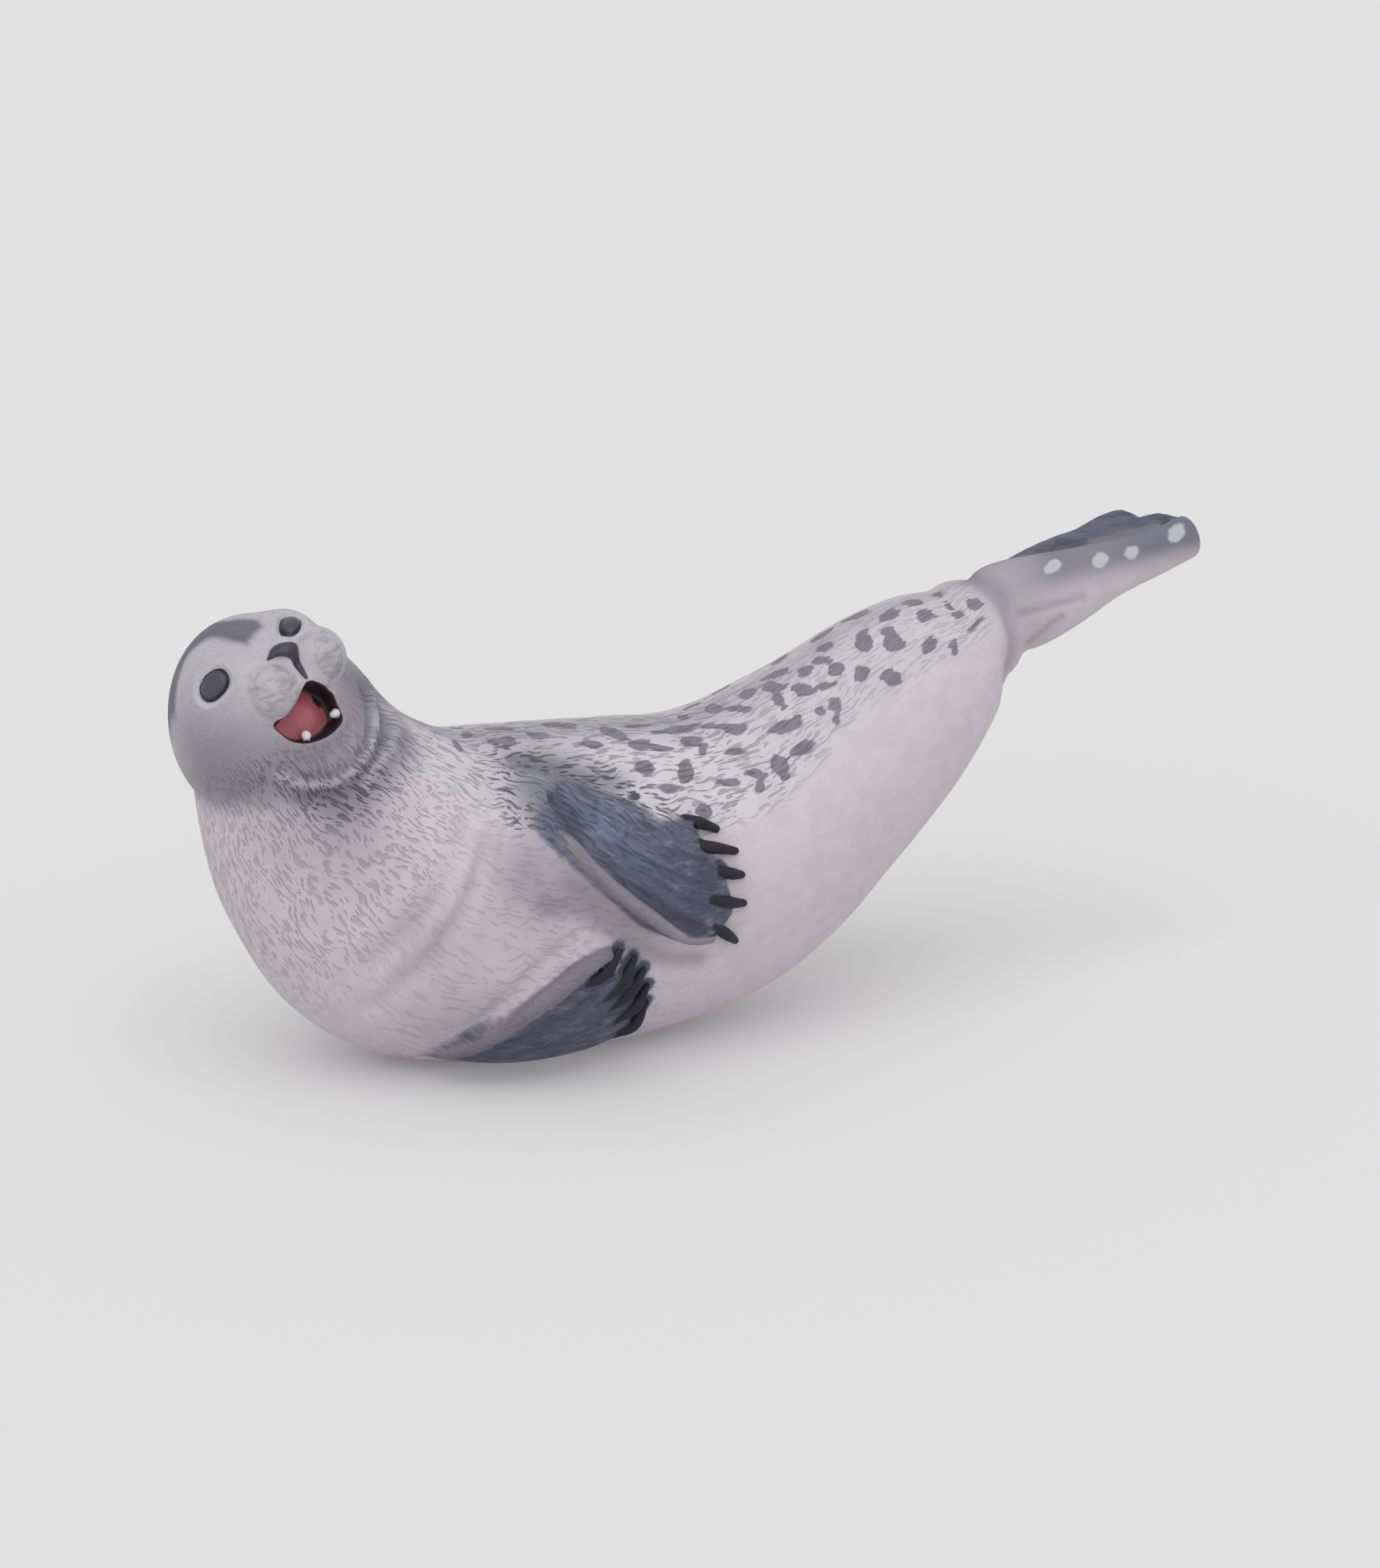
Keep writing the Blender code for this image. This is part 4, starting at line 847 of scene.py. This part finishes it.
def refined(points, faces, measure):
    """The surface with the faces near the detail cut in four and the new points laid on the skin."""
    count = len(points)
    four = [face for face in faces if len(face) == 4]
    others = [face for face in faces if len(face) != 4]
    four = np.array(four)
    chosen = measure(points[four].mean(1)) < 0.0
    ends = np.sort(np.stack([four, np.roll(four, -1, axis=1)], axis=2), axis=2)
    codes = ends[..., 0] * count + ends[..., 1]
    split = np.unique(codes[chosen])
    centres = np.full(len(four), -1)
    centres[chosen] = count + len(split) + np.arange(chosen.sum())
    halfway = (points[split // count] + points[split % count]) / 2
    fresh = np.concatenate([halfway, points[four[chosen]].mean(1)])
    moved = settle(skin, fresh) - fresh
    fresh = fresh + moved * np.minimum(1.0, 0.25 / np.maximum(np.linalg.norm(moved, axis=1), 1e-9))[:, None]
    place = np.searchsorted(split, codes).clip(0, len(split) - 1)
    middles = np.where(split[place] == codes, count + place, -1)
    result = []
    for i in range(4):
        corners = (four[:, i], middles[:, i], centres, middles[:, i - 1])
        result.extend(np.stack(corners, axis=1)[chosen].tolist())
    plain = ~chosen & (middles < 0).all(1)
    result.extend(four[plain].tolist())
    for face, middle in zip(four[~chosen & ~plain].tolist(), middles[~chosen & ~plain].tolist()):
        result.append([v for pair in zip(face, middle) for v in pair if v >= 0])
    edge = dict(zip(split.tolist(), range(count, count + len(split))))
    for face in others:
        ring = []
        for a, b in zip(face, list(face[1:]) + [face[0]]):
            ring += [a] + [edge[c] for c in (min(a, b) * count + max(a, b),) if c in edge]
        result.append(ring)
    return np.concatenate([points, fresh]), result


def rounded(outline, rounds):
    """The closed outline with its corners cut that many times."""
    ring = np.array(outline)
    for _ in range(rounds):
        ahead = np.roll(ring, -1, axis=0)
        ring = np.stack([0.78 * ring + 0.22 * ahead, 0.22 * ring + 0.78 * ahead], axis=1).reshape(-1, 2)
    return [tuple(place) for place in ring.tolist()]


NOSE, MOUTH = rounded(NOSE, 1), rounded(MOUTH, 2)
FOLDS = fold_lines()
GROOVES = flipper_grooves()
points, quads = read_surface(skin, GRID_LOW, GRID_HIGH, STEP)
points, quads = outermost(points, quads)


def detail(points):
    """How far points are from the parts that need the closest points: eyes, nose, mouth and claws."""
    p = in_head(points)
    best = np.min([claw.gap(points) for claw in CLAWS], axis=0) - 0.25
    front = np.where((p[:, 1] > 2.5) & (np.linalg.norm(p, axis=1) < 13.0), 0.0, 9.0)
    for outline in (NOSE, MOUTH):
        best = np.minimum(best, front + np.abs(outline_gap(p[:, ::2], outline)) - 0.35)
    for middle, size, lean in EYES:
        edge = np.abs(eye_gap(p, middle, size, lean)) - 0.4
        best = np.minimum(best, np.where(p @ unit(middle) > 3.0, edge, 9.0))
    for middle, radii in TEETH:
        best = np.minimum(best, np.linalg.norm(p - np.array(middle), axis=1) - max(radii) - 0.35)
    return best


def wide_detail(points):
    """How far points are from the head's front and the fore flippers."""
    p = in_head(points)
    face = np.linalg.norm((p - (0.2, 5.5, 0.2)) / (6.6, 5.0, 6.2), axis=1) - 1.0
    dots = [np.linalg.norm(points - np.array(middle), axis=1) - 1.4 for middle, _, _ in HIND_DOTS]
    return np.min([face] + dots + [tube.gap(points) - 0.3 for tube in PALMS + CLAWS], axis=0)


# The skin: the surface is cut finer where the detail is small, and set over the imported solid.
faces = quads
for measure in (wide_detail, detail):
    points, faces = refined(points, faces, measure)
cad_low, cad_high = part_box("seal")
shift = (np.array(cad_low) + np.array(cad_high)) / 2 - (points.min(0) + points.max(0)) / 2 * MM
shift[2] = 0.0

# Masks: for each point, how far it is from each thing that is painted, or how much of it there is.
along, angle, radius = on_body(points)
p = in_head(points)
side_angle = 90.0 - np.abs(((angle + 90.0) % 360.0) - 180.0)
head = ease(-np.linalg.norm(p / np.array([8.2, 8.8, 8.6]), axis=1), -1.25, -0.95)

masks = {}
masks["spot"] = spot_gap(along, angle, radius, SPOTS + far_spots(FAR_SPOTS, FAR_SEED))
masks["head"] = head
masks["face"] = head * ease(p[:, 2], -4.5, -1.5)
masks["throat"] = ease(-along, -20.0, -12.0) * ease(-side_angle, -60.0, -30.0)
palm_gap = np.minimum(PALMS[0].gap(points), PALMS[1].gap(points))
claw_gap = np.min([claw.gap(points) for claw in CLAWS], axis=0)
digit_gap = np.min([digit.gap(points) for digit in DIGITS], axis=0)
ridge_gap = np.minimum(RIDGES[0].gap(points), RIDGES[1].gap(points))
masks["claw"] = claw_gap
eye = np.full(len(points), 9.0)
for middle, size, lean in EYES:
    eye = np.minimum(eye, np.where(p @ unit(middle) > 3.0, eye_gap(p, middle, size, lean), 9.0))
masks["eye"] = eye
in_front = (p[:, 1] > 2.5) & (np.linalg.norm(p, axis=1) < 13.0)
masks["nose"] = np.where(in_front, outline_gap(p[:, ::2], NOSE), 9.0)
masks["mouth"] = np.where(in_front, outline_gap(p[:, ::2], MOUTH), 9.0)
masks["depth"] = np.hypot((p[:, 0] - 1.55) / 0.55, (p[:, 2] + 1.95) / 0.85)
masks["tooth"] = np.min([ellipsoid_gap(p - np.array(m), r) for m, r in TEETH], axis=0)
dots = []
for middle, half_length, half_height in HIND_DOTS:
    x, y, z = (points - np.array(middle)).T
    length, height = (x * 0.9 + z * 0.44) / half_length, (z * 0.9 - x * 0.44) / half_height
    dots.append(np.hypot(np.hypot(length, height), y / 2.0) - 1.0)
masks["dot"] = np.min(dots, axis=0)


def line_near(places, half_width):
    """How near each point is to a line through those places, from 1 on it to 0."""
    return Fold(np.array(places), 1.0, half_width).carve(points)


def tube_flow(tube):
    """Millimetres along a tube and the offset from its line, for each point."""
    place = tube.place(points)
    centre, outward, across, forward, _ = tube.section(place)
    offset = points - centre
    length = np.linalg.norm(np.diff(tube.centres, axis=0), axis=1).sum()
    ahead, wide, high = ((offset * axis).sum(1) for axis in (forward, across, outward))
    return np.column_stack([place / tube.last * length + ahead, wide, high])


# Soft washes of colour, painted shade among them, mixed at each point.
BACK, BELLY, SLATE = linear(207, 204, 209), linear(207, 197, 205), linear(112, 111, 126)
DARK_SLATE, BROWN, ROOT = linear(76, 80, 102), linear(112, 104, 112), linear(92, 94, 113)
colour = np.tile(BACK, (len(points), 1))


def wash(amount, tone):
    """Lays a tone over the colour, as much at each point as the amount says."""
    global colour
    amount = np.clip(amount, 0.0, 1.0)[:, None]
    colour = colour * (1.0 - amount) + tone * amount


edge_angle = np.interp(along, [0, 20, 40, 46, 55, 62, 70, 76, 90], [40, 40, 34, 30, 33, 36, 30, 20, 0])
flank = ease(side_angle - edge_angle, -10.0, 6.0)
wash((1 - flank) * (1 - head), BELLY)
wash(0.55 * ease(side_angle, 66.0, 92.0) * (1 - head), SLATE)
wash(0.5 * ease(along, 44.0, 56.0) * flank * (1 - head), linear(192, 188, 194))
crown = outline_gap(p[:, :2], CROWN)
wash(0.95 * ease(-crown, -0.5, 0.5) * (p[:, 2] > 0) * head, linear(94, 94, 110))
for places, half_width, amount, tint in WASH_AND_SHADE_LINES:
    wash(amount * line_near(places, half_width), linear(*tint))
wash(0.8 * head * (1.0 - ease(-crown, -0.5, 0.5) * (p[:, 2] > 0)), linear(175, 172, 179))
wash(head * ease(p[:, 2], 0.5, -5.5), linear(142, 135, 145))
for middle, reach, amount, tint in HEAD_WASHES:
    wash(amount * near(p, middle, reach), linear(*tint))
for fold, (amount, tint) in zip(FOLDS[len(BODY_FOLDS):], CHIN_WASHES):
    wash(amount * np.clip(fold.carve(points) / fold.depth * 1.3, 0.0, 1.0), linear(*tint))
for middle, reach, amount, tint in WASHES_AND_SHADE:
    wash(amount * near(points, middle, reach), linear(*tint))
# Painted shade: the skin darker low down, where it comes near the floor.
wash(0.45 * ease(1.4 - points[:, 2], 0.0, 1.4), linear(60, 58, 64))
hind = ease(points[:, 0], 25.0, 28.0) * ease(along, LENGTH - 1.0, LENGTH + 1.0)
top_edge = np.interp(points[:, 0], [28, 33, 38, 45], [35.2, 36.0, 36.6, 37.4])
wash(hind * 0.12, BROWN)
wash(0.85 * hind * ease(points[:, 2] - top_edge, -1.9, 0.9) * ease(points[:, 0], 28.5, 33.5), SLATE)
# Painted shade in the crease where the hind flippers leave the rump and along their grooves, darkest where
# they are carved deepest.
for fold in FOLDS[len(BODY_FOLDS) + len(HEAD_FOLDS):]:
    wash(0.5 * np.clip(fold.carve(points) / fold.depth, 0.0, 1.0), linear(112, 106, 120))
web = ease(points[:, 1], -0.6, 0.6) * hind * ease(points[:, 2] - top_edge, -0.6, 0.6)
wash(0.75 * web, DARK_SLATE)
wash(0.4 * hind * ease(points[:, 0], 37.0, 43.0) * ease(points[:, 2] - top_edge, -0.5, 1.0), DARK_SLATE)
wash(0.4 * near(points, (29.5, -1.0, 36.2), 2.8), linear(116, 109, 120))
masks["web"] = web
for middle, reach, amount in ROOT_SHADE:
    wash(amount * near(points, middle, reach), ROOT)
for ridge, tint in zip(RIDGES, ((124, 118, 128), (100, 95, 107))):
    wash(0.85 * ease(0.30 - ridge.gap(points), 0.0, 0.3), linear(*tint))
# Painted shade along the fold under the left fore flipper's ridge.
wash(0.6 * np.clip(FOLDS[len(BODY_FOLDS) - 1].carve(points) / 0.45, 0, 1), linear(124, 116, 126))
palm = [ease(0.9 - tube.gap(points), 0.0, 0.7) for tube in PALMS]
low_claw_gap = np.min([claw.gap(points) for claw in CLAWS[len(LEFT_CLAWS):]], axis=0)
paddle_gap = np.minimum(palm_gap, np.minimum(digit_gap - 0.1, low_claw_gap - 0.35))
masks["blue"] = 0.55 - paddle_gap - 0.9 * ease(0.12 - ridge_gap, 0.0, 0.25) - 0.8 * line_near(INK_LINE, 1.0)
upper, lower = (tube_flow(tube) for tube in PALMS)
masks["blue"] -= 1.0 * ease(5.0 - upper[:, 0], 0.0, 4.0) * (palm[0] > palm[1])
masks["reach"] = np.where(palm[0] > palm[1], 1.2 * ease(upper[:, 0], 9.0, 16.0), 1.3)
ink = line_near(INK_LINE, 1.7) + 0.8 * line_near(INK_ROOT, 1.0) + 0.7 * line_near(NECK_LINE, 2.0)
masks["ink"] = np.clip(ink, 0.0, 1.0)
# Painted shade in the groove beside the left fore flipper's ridge.
masks["groove_shade"] = GROOVES[0].carve(points) / GROOVES[0].depth
muzzle = near(p, (0.0, 6.5, 0.5), 4.6)
chest = (1 - flank) * (0.45 * ease(-along, -44.0, -30.0) + 0.45 * ease(-along, -17.0, -11.0))
rear = 1.0 - 0.6 * ease(along, 46.0, 62.0)
masks["fur"] = np.clip(0.85 * flank * rear + 0.6 * chest + 0.05 + masks["ink"], 0.0, 1.2)
masks["fur"] *= (1 - hind) ** 2 * (1 - muzzle)
masks["palm"] = np.maximum(*palm)
pads = [np.hypot((p[:, 0] - x) / wide, (p[:, 2] - z) / high) for x, z, wide, high in PAD_RINGS]
masks["pad"] = np.where(p[:, 1] > 3.0, 2.0 * (np.minimum(*pads) - 1.0), 9.0)

# The piece: the mesh keeps the masks, and the material reads them.
mesh = bpy.data.meshes.new("seal_skin")
mesh.from_pydata((points * MM + shift).tolist(), [], faces)
mesh.shade_smooth()


def keep(name, kind, field, values):
    """Keeps a number, a vector or a colour for each point of the skin."""
    data = mesh.attributes.new(name, kind, "POINT").data
    data.foreach_set(field, values.astype(np.float32).ravel())


for name, values in masks.items():
    keep(name, "FLOAT", "value", values)
turn = np.radians(angle)
flow = np.column_stack([along, BODY_ROUND * np.cos(turn), BODY_ROUND * np.sin(turn)])
keep("body_flow", "FLOAT_VECTOR", "vector", flow)
ring = np.arctan2(p[:, 2], p[:, 0])
far = HEAD_FORWARD * np.arccos(np.clip(p[:, 1] / np.maximum(np.linalg.norm(p, axis=1), 1e-6), -1, 1))
flow = np.column_stack([far, HEAD_ROUND * np.cos(ring), HEAD_ROUND * np.sin(ring)])
keep("head_flow", "FLOAT_VECTOR", "vector", flow)
keep("palm_flow", "FLOAT_VECTOR", "vector", np.where((palm[0] > palm[1])[:, None], upper, lower))
keep("wash", "FLOAT_COLOR", "color", np.column_stack([colour, np.ones(len(points))]))


class Nodes:
    """Short names for the shader nodes that the paint uses."""

    def __init__(self, tree):
        self.tree = tree

    def add(self, kind, **settings):
        node = self.tree.nodes.new(kind)
        for name, value in settings.items():
            setattr(node, name, value)
        return node

    def feed(self, socket, value):
        if isinstance(value, bpy.types.NodeSocket):
            self.tree.links.new(value, socket)
        elif value is not None:
            socket.default_value = value

    def attribute(self, name, output="Fac"):
        return self.add("ShaderNodeAttribute", attribute_name=name).outputs[output]

    def math(self, operation, *values, kind="ShaderNodeMath"):
        node = self.add(kind, operation=operation)
        for socket, value in zip(node.inputs, values):
            self.feed(socket, value)
        return node.outputs[0]

    def times(self, a, b):
        return self.math("MULTIPLY", a, b)

    def plus(self, a, b):
        return self.math("ADD", a, b)

    def minus(self, a, b):
        return self.math("SUBTRACT", a, b)

    def step(self, value, low, high):
        """Rises smoothly from 0 at low to 1 at high; falls where low is above high."""
        node = self.add("ShaderNodeMapRange", interpolation_type="SMOOTHSTEP")
        ends = (0.0, 1.0) if low < high else (1.0, 0.0)
        for socket, number in zip(node.inputs, (value, min(low, high), max(low, high), *ends)):
            self.feed(socket, number)
        return node.outputs[0]

    def mix(self, share, a, b):
        node = self.add("ShaderNodeMix", data_type="RGBA")
        for socket, value in zip((node.inputs[0], node.inputs[6], node.inputs[7]), (share, a, b)):
            self.feed(socket, value)
        return node.outputs[2]

    def scaled(self, vector, scale):
        return self.math("MULTIPLY", vector, scale, kind="ShaderNodeVectorMath")

    def add_vectors(self, a, b):
        return self.math("ADD", a, b, kind="ShaderNodeVectorMath")

    def blend(self, share, a, b):
        """One number run into another."""
        node = self.add("ShaderNodeMix", data_type="FLOAT")
        for socket, value in zip(node.inputs[0:4], (share, None, a, b)):
            self.feed(socket, value)
        return node.outputs[0]

    def noise(self, vector, scale=1.0, detail=2.0, output="Fac"):
        node = self.add("ShaderNodeTexNoise")
        self.feed(node.inputs["Vector"], vector)
        node.inputs["Scale"].default_value = scale
        node.inputs["Detail"].default_value = detail
        return node.outputs[output]


def tone(name):
    """A paint of the palette as a shader socket takes it."""
    return (*linear(*PALETTE[name]), 1.0)


def paint():
    """The painted plastic: washes, spots, flippers and face in one material."""
    material = bpy.data.materials.new("painted_plastic")
    material.use_nodes = True
    tree = material.node_tree
    shader = tree.nodes["Principled BSDF"]
    n = Nodes(tree)
    place = n.scaled(n.add("ShaderNodeTexCoord").outputs["Object"], (1000.0, 1000.0, 1000.0))
    flow = n.attribute("body_flow", "Vector")
    head_flow = n.attribute("head_flow", "Vector")
    head = n.attribute("head")
    palm_flow = n.attribute("palm_flow", "Vector")
    palm, fur, ink = (n.attribute(name) for name in ("palm", "fur", "ink"))
    # Fur: short dashes along the flow, with a pattern each for the body, the head and the flippers.
    bend = n.add_vectors(n.noise(place, 0.28, 1.0, output="Color"), (-0.5, -0.5, -0.5))
    bend = n.scaled(bend, (0.0, 2.2, 2.2))

    def dashes(vector, length, width):
        placed = n.scaled(n.add_vectors(vector, bend), (1 / length, 1 / width, 1 / width))
        return n.step(n.noise(placed, 1.0, 1.0), 0.53, 0.66)

    body_dash = n.blend(n.attribute("throat"), dashes(flow, 2.3, 0.32), dashes(flow, 1.0, 0.30))
    head_dash = n.times(dashes(head_flow, 0.8, 0.22), 0.35)
    palm_dash = dashes(palm_flow, 2.6, 0.26)
    dash = n.blend(n.attribute("face"), body_dash, head_dash)
    dash = n.times(n.blend(n.step(palm, 0.3, 0.8), dash, palm_dash), fur)
    mottle = n.noise(place, 0.55, 3.0)
    fine = n.noise(n.scaled(flow, (0.8, 2.4, 2.4)), 1.0, 2.0)
    warp = n.noise(n.scaled(flow, (0.5, 1.2, 1.2)), 1.0, 2.0)
    warp = n.times(n.minus(warp, 0.5), 0.9)
    colour = n.attribute("wash", "Color")
    colour = n.mix(n.times(n.step(mottle, 0.42, 0.62), 0.11), colour, tone("mottle"))
    spot = n.step(n.plus(n.attribute("spot"), warp), 0.08, -0.08)
    colour = n.mix(n.times(spot, 0.97), colour, tone("spot"))
    strength = n.plus(n.times(n.minus(1.0, head), 0.28), n.plus(0.22, n.times(ink, 0.45)))
    colour = n.mix(n.times(dash, strength), colour, tone("stroke"))
    blue = n.plus(n.attribute("blue"), n.times(n.minus(fine, 0.5), 0.35))
    streak = n.noise(n.scaled(palm_flow, (0.4, 2.6, 2.6)), 1.0, 2.0)
    paint_blue = n.mix(n.step(streak, 0.38, 0.68), tone("blue_low"), tone("blue_high"))
    paint_blue = n.mix(n.times(n.attribute("reach"), 0.6), paint_blue, tone("blue_far"))
    paint_blue = n.mix(n.times(palm_dash, 0.5), paint_blue, tone("blue_stroke"))
    # Painted shade in the flipper's groove, over the blue.
    paint_blue = n.mix(n.times(n.attribute("groove_shade"), 0.75), paint_blue, tone("groove_shade"))
    colour = n.mix(n.step(blue, 0.1, 0.6), colour, paint_blue)
    colour = n.mix(n.step(n.attribute("claw"), 0.12, 0.0), colour, tone("claw"))
    dot = n.plus(n.attribute("dot"), n.times(n.minus(n.noise(place, 1.6, 1.0), 0.5), 0.7))
    crumple = n.step(n.noise(n.scaled(place, (0.55, 1.6, 2.6)), 1.0, 2.0), 0.50, 0.62)
    colour = n.mix(n.times(n.times(n.attribute("web"), crumple), 0.5), colour, tone("crumple"))
    colour = n.mix(n.times(n.step(dot, 0.22, -0.22), 0.9), colour, tone("dot"))
    pad = n.attribute("pad")
    on_pad = n.step(pad, 0.1, -0.3)
    patches = n.step(n.noise(n.scaled(place, (1.0, 1.0, 2.2)), 1.1, 2.0), 0.38, 0.70)
    colour = n.mix(n.times(on_pad, n.times(patches, 0.65)), colour, tone("pad_patch"))
    edge = n.step(n.math("ABSOLUTE", n.plus(pad, 0.05)), 0.22, 0.08)
    colour = n.mix(n.times(edge, 0.4), colour, tone("pad_edge"))
    nose = n.step(n.attribute("nose"), 0.06, -0.06)
    colour = n.mix(nose, colour, tone("nose"))
    mouth = n.attribute("mouth")
    inside = n.step(mouth, 0.16, 0.06)
    rim = n.step(mouth, -0.55, -0.25)
    red = n.mix(n.step(n.attribute("depth"), 0.7, 1.2), tone("throat"), tone("tongue"))
    colour = n.mix(inside, colour, n.mix(rim, red, tone("mouth_rim")))
    colour = n.mix(n.step(n.attribute("tooth"), 0.10, 0.03), colour, tone("tooth"))
    eye = n.attribute("eye")
    lid = n.step(n.math("ABSOLUTE", n.minus(eye, 0.28)), 0.22, 0.1)
    colour = n.mix(lid, colour, tone("lid"))
    ball = n.mix(n.step(eye, -0.12, -0.3), tone("eye_rim"), tone("eye"))
    colour = n.mix(n.step(eye, 0.06, -0.02), colour, ball)
    n.feed(shader.inputs["Base Color"], colour)
    gloss = n.math("MAXIMUM", n.step(eye, 0.06, -0.02), n.math("MAXIMUM", nose, inside))
    n.feed(shader.inputs["Roughness"], n.minus(0.62, n.times(gloss, 0.34)))
    smooth = n.minus(1.0, gloss)
    grain = n.noise(place, 3.2, 2.0)
    lumps = n.times(n.times(n.noise(place, 1.5, 2.0), on_pad), 0.2)
    height = n.plus(n.times(n.times(dash, smooth), -0.12), n.times(grain, 0.02))
    height = n.plus(height, lumps)
    bump = n.add("ShaderNodeBump")
    bump.inputs["Distance"].default_value = MM
    n.feed(bump.inputs["Height"], height)
    n.feed(shader.inputs["Normal"], bump.outputs[0])
    shader.inputs["Specular IOR Level"].default_value = 0.35
    return material


mesh.materials.append(paint())
seal = bpy.data.objects.new("seal_skin", mesh)
bpy.context.scene.collection.objects.link(seal)
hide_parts("seal")
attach(seal, "root")


# The camera: where it looks from (angle round and up), what it looks at, how far off, and its lens.
VIEW_FROM, VIEW_TARGET, VIEW_DISTANCE = (-22.0, 18.0), (0.0, 0.0, 20.5), 450.0
VIEW_OFFSET, LENS = (0.52, 0.13), 121.93

# The light from all round and the soft key light, and the floor with its size in metres.
WORLD_LIGHT, SUN_LIGHT, SUN_SPREAD, SUN_FROM = 0.72, 1.05, 60.0, (-30.0, 58.0)
FLOOR_REACH, FLOOR_TONE, FLOOR_GLOW = 6.0, (225, 225, 225), 0.18


def studio():
    """The pale floor, the soft light and the camera at the photograph's viewing angle."""
    scene = bpy.context.scene
    scene.view_settings.view_transform = "Standard"
    floor_mesh = bpy.data.meshes.new("floor")
    r = FLOOR_REACH
    floor_mesh.from_pydata([(-r, -r, 0), (r, -r, 0), (r, r, 0), (-r, r, 0)], [], [(0, 1, 2, 3)])
    floor = bpy.data.objects.new("floor", floor_mesh)
    scene.collection.objects.link(floor)
    material = bpy.data.materials.new("floor")
    material.use_nodes = True
    shader = material.node_tree.nodes["Principled BSDF"]
    shader.inputs["Roughness"].default_value = 1.0
    shader.inputs["Specular IOR Level"].default_value = 0.0
    grey = linear(*FLOOR_TONE)
    shader.inputs["Base Color"].default_value = (*grey * (1 - FLOOR_GLOW), 1.0)
    shader.inputs["Emission Color"].default_value = (*grey, 1.0)
    shader.inputs["Emission Strength"].default_value = FLOOR_GLOW
    floor_mesh.materials.append(material)
    world = bpy.data.worlds.new("studio")
    scene.world = world
    world.use_nodes = True
    world.node_tree.nodes["Background"].inputs["Color"].default_value = (1.0, 1.0, 1.0, 1.0)
    world.node_tree.nodes["Background"].inputs["Strength"].default_value = WORLD_LIGHT
    sun = bpy.data.lights.new("soft_key", "SUN")
    sun.energy, sun.angle = SUN_LIGHT, math.radians(SUN_SPREAD)
    lamp = bpy.data.objects.new("soft_key", sun)
    a, e = (math.radians(v) for v in SUN_FROM)
    way = Vector((math.sin(a) * math.cos(e), -math.cos(a) * math.cos(e), math.sin(e)))
    lamp.rotation_euler = way.to_track_quat("Z", "Y").to_euler()
    scene.collection.objects.link(lamp)
    camera = bpy.data.cameras.new("camera")
    camera.sensor_width, camera.lens = 36.0, LENS
    camera.clip_start, camera.clip_end = 0.01, 20.0
    eye = bpy.data.objects.new("camera", camera)
    a, e = (math.radians(v) for v in VIEW_FROM)
    back = Vector((math.sin(a) * math.cos(e), -math.cos(a) * math.cos(e), math.sin(e)))
    right = Vector((math.cos(a), math.sin(a), 0.0))
    up = back.cross(right)
    aim = Vector(VIEW_TARGET) * MM + Vector(shift) + right * VIEW_OFFSET[0] * MM + up * VIEW_OFFSET[1] * MM
    eye.location = aim + back * VIEW_DISTANCE * MM
    eye.rotation_euler = back.to_track_quat("Z", "Y").to_euler()
    scene.collection.objects.link(eye)
    scene.camera = eye


studio()
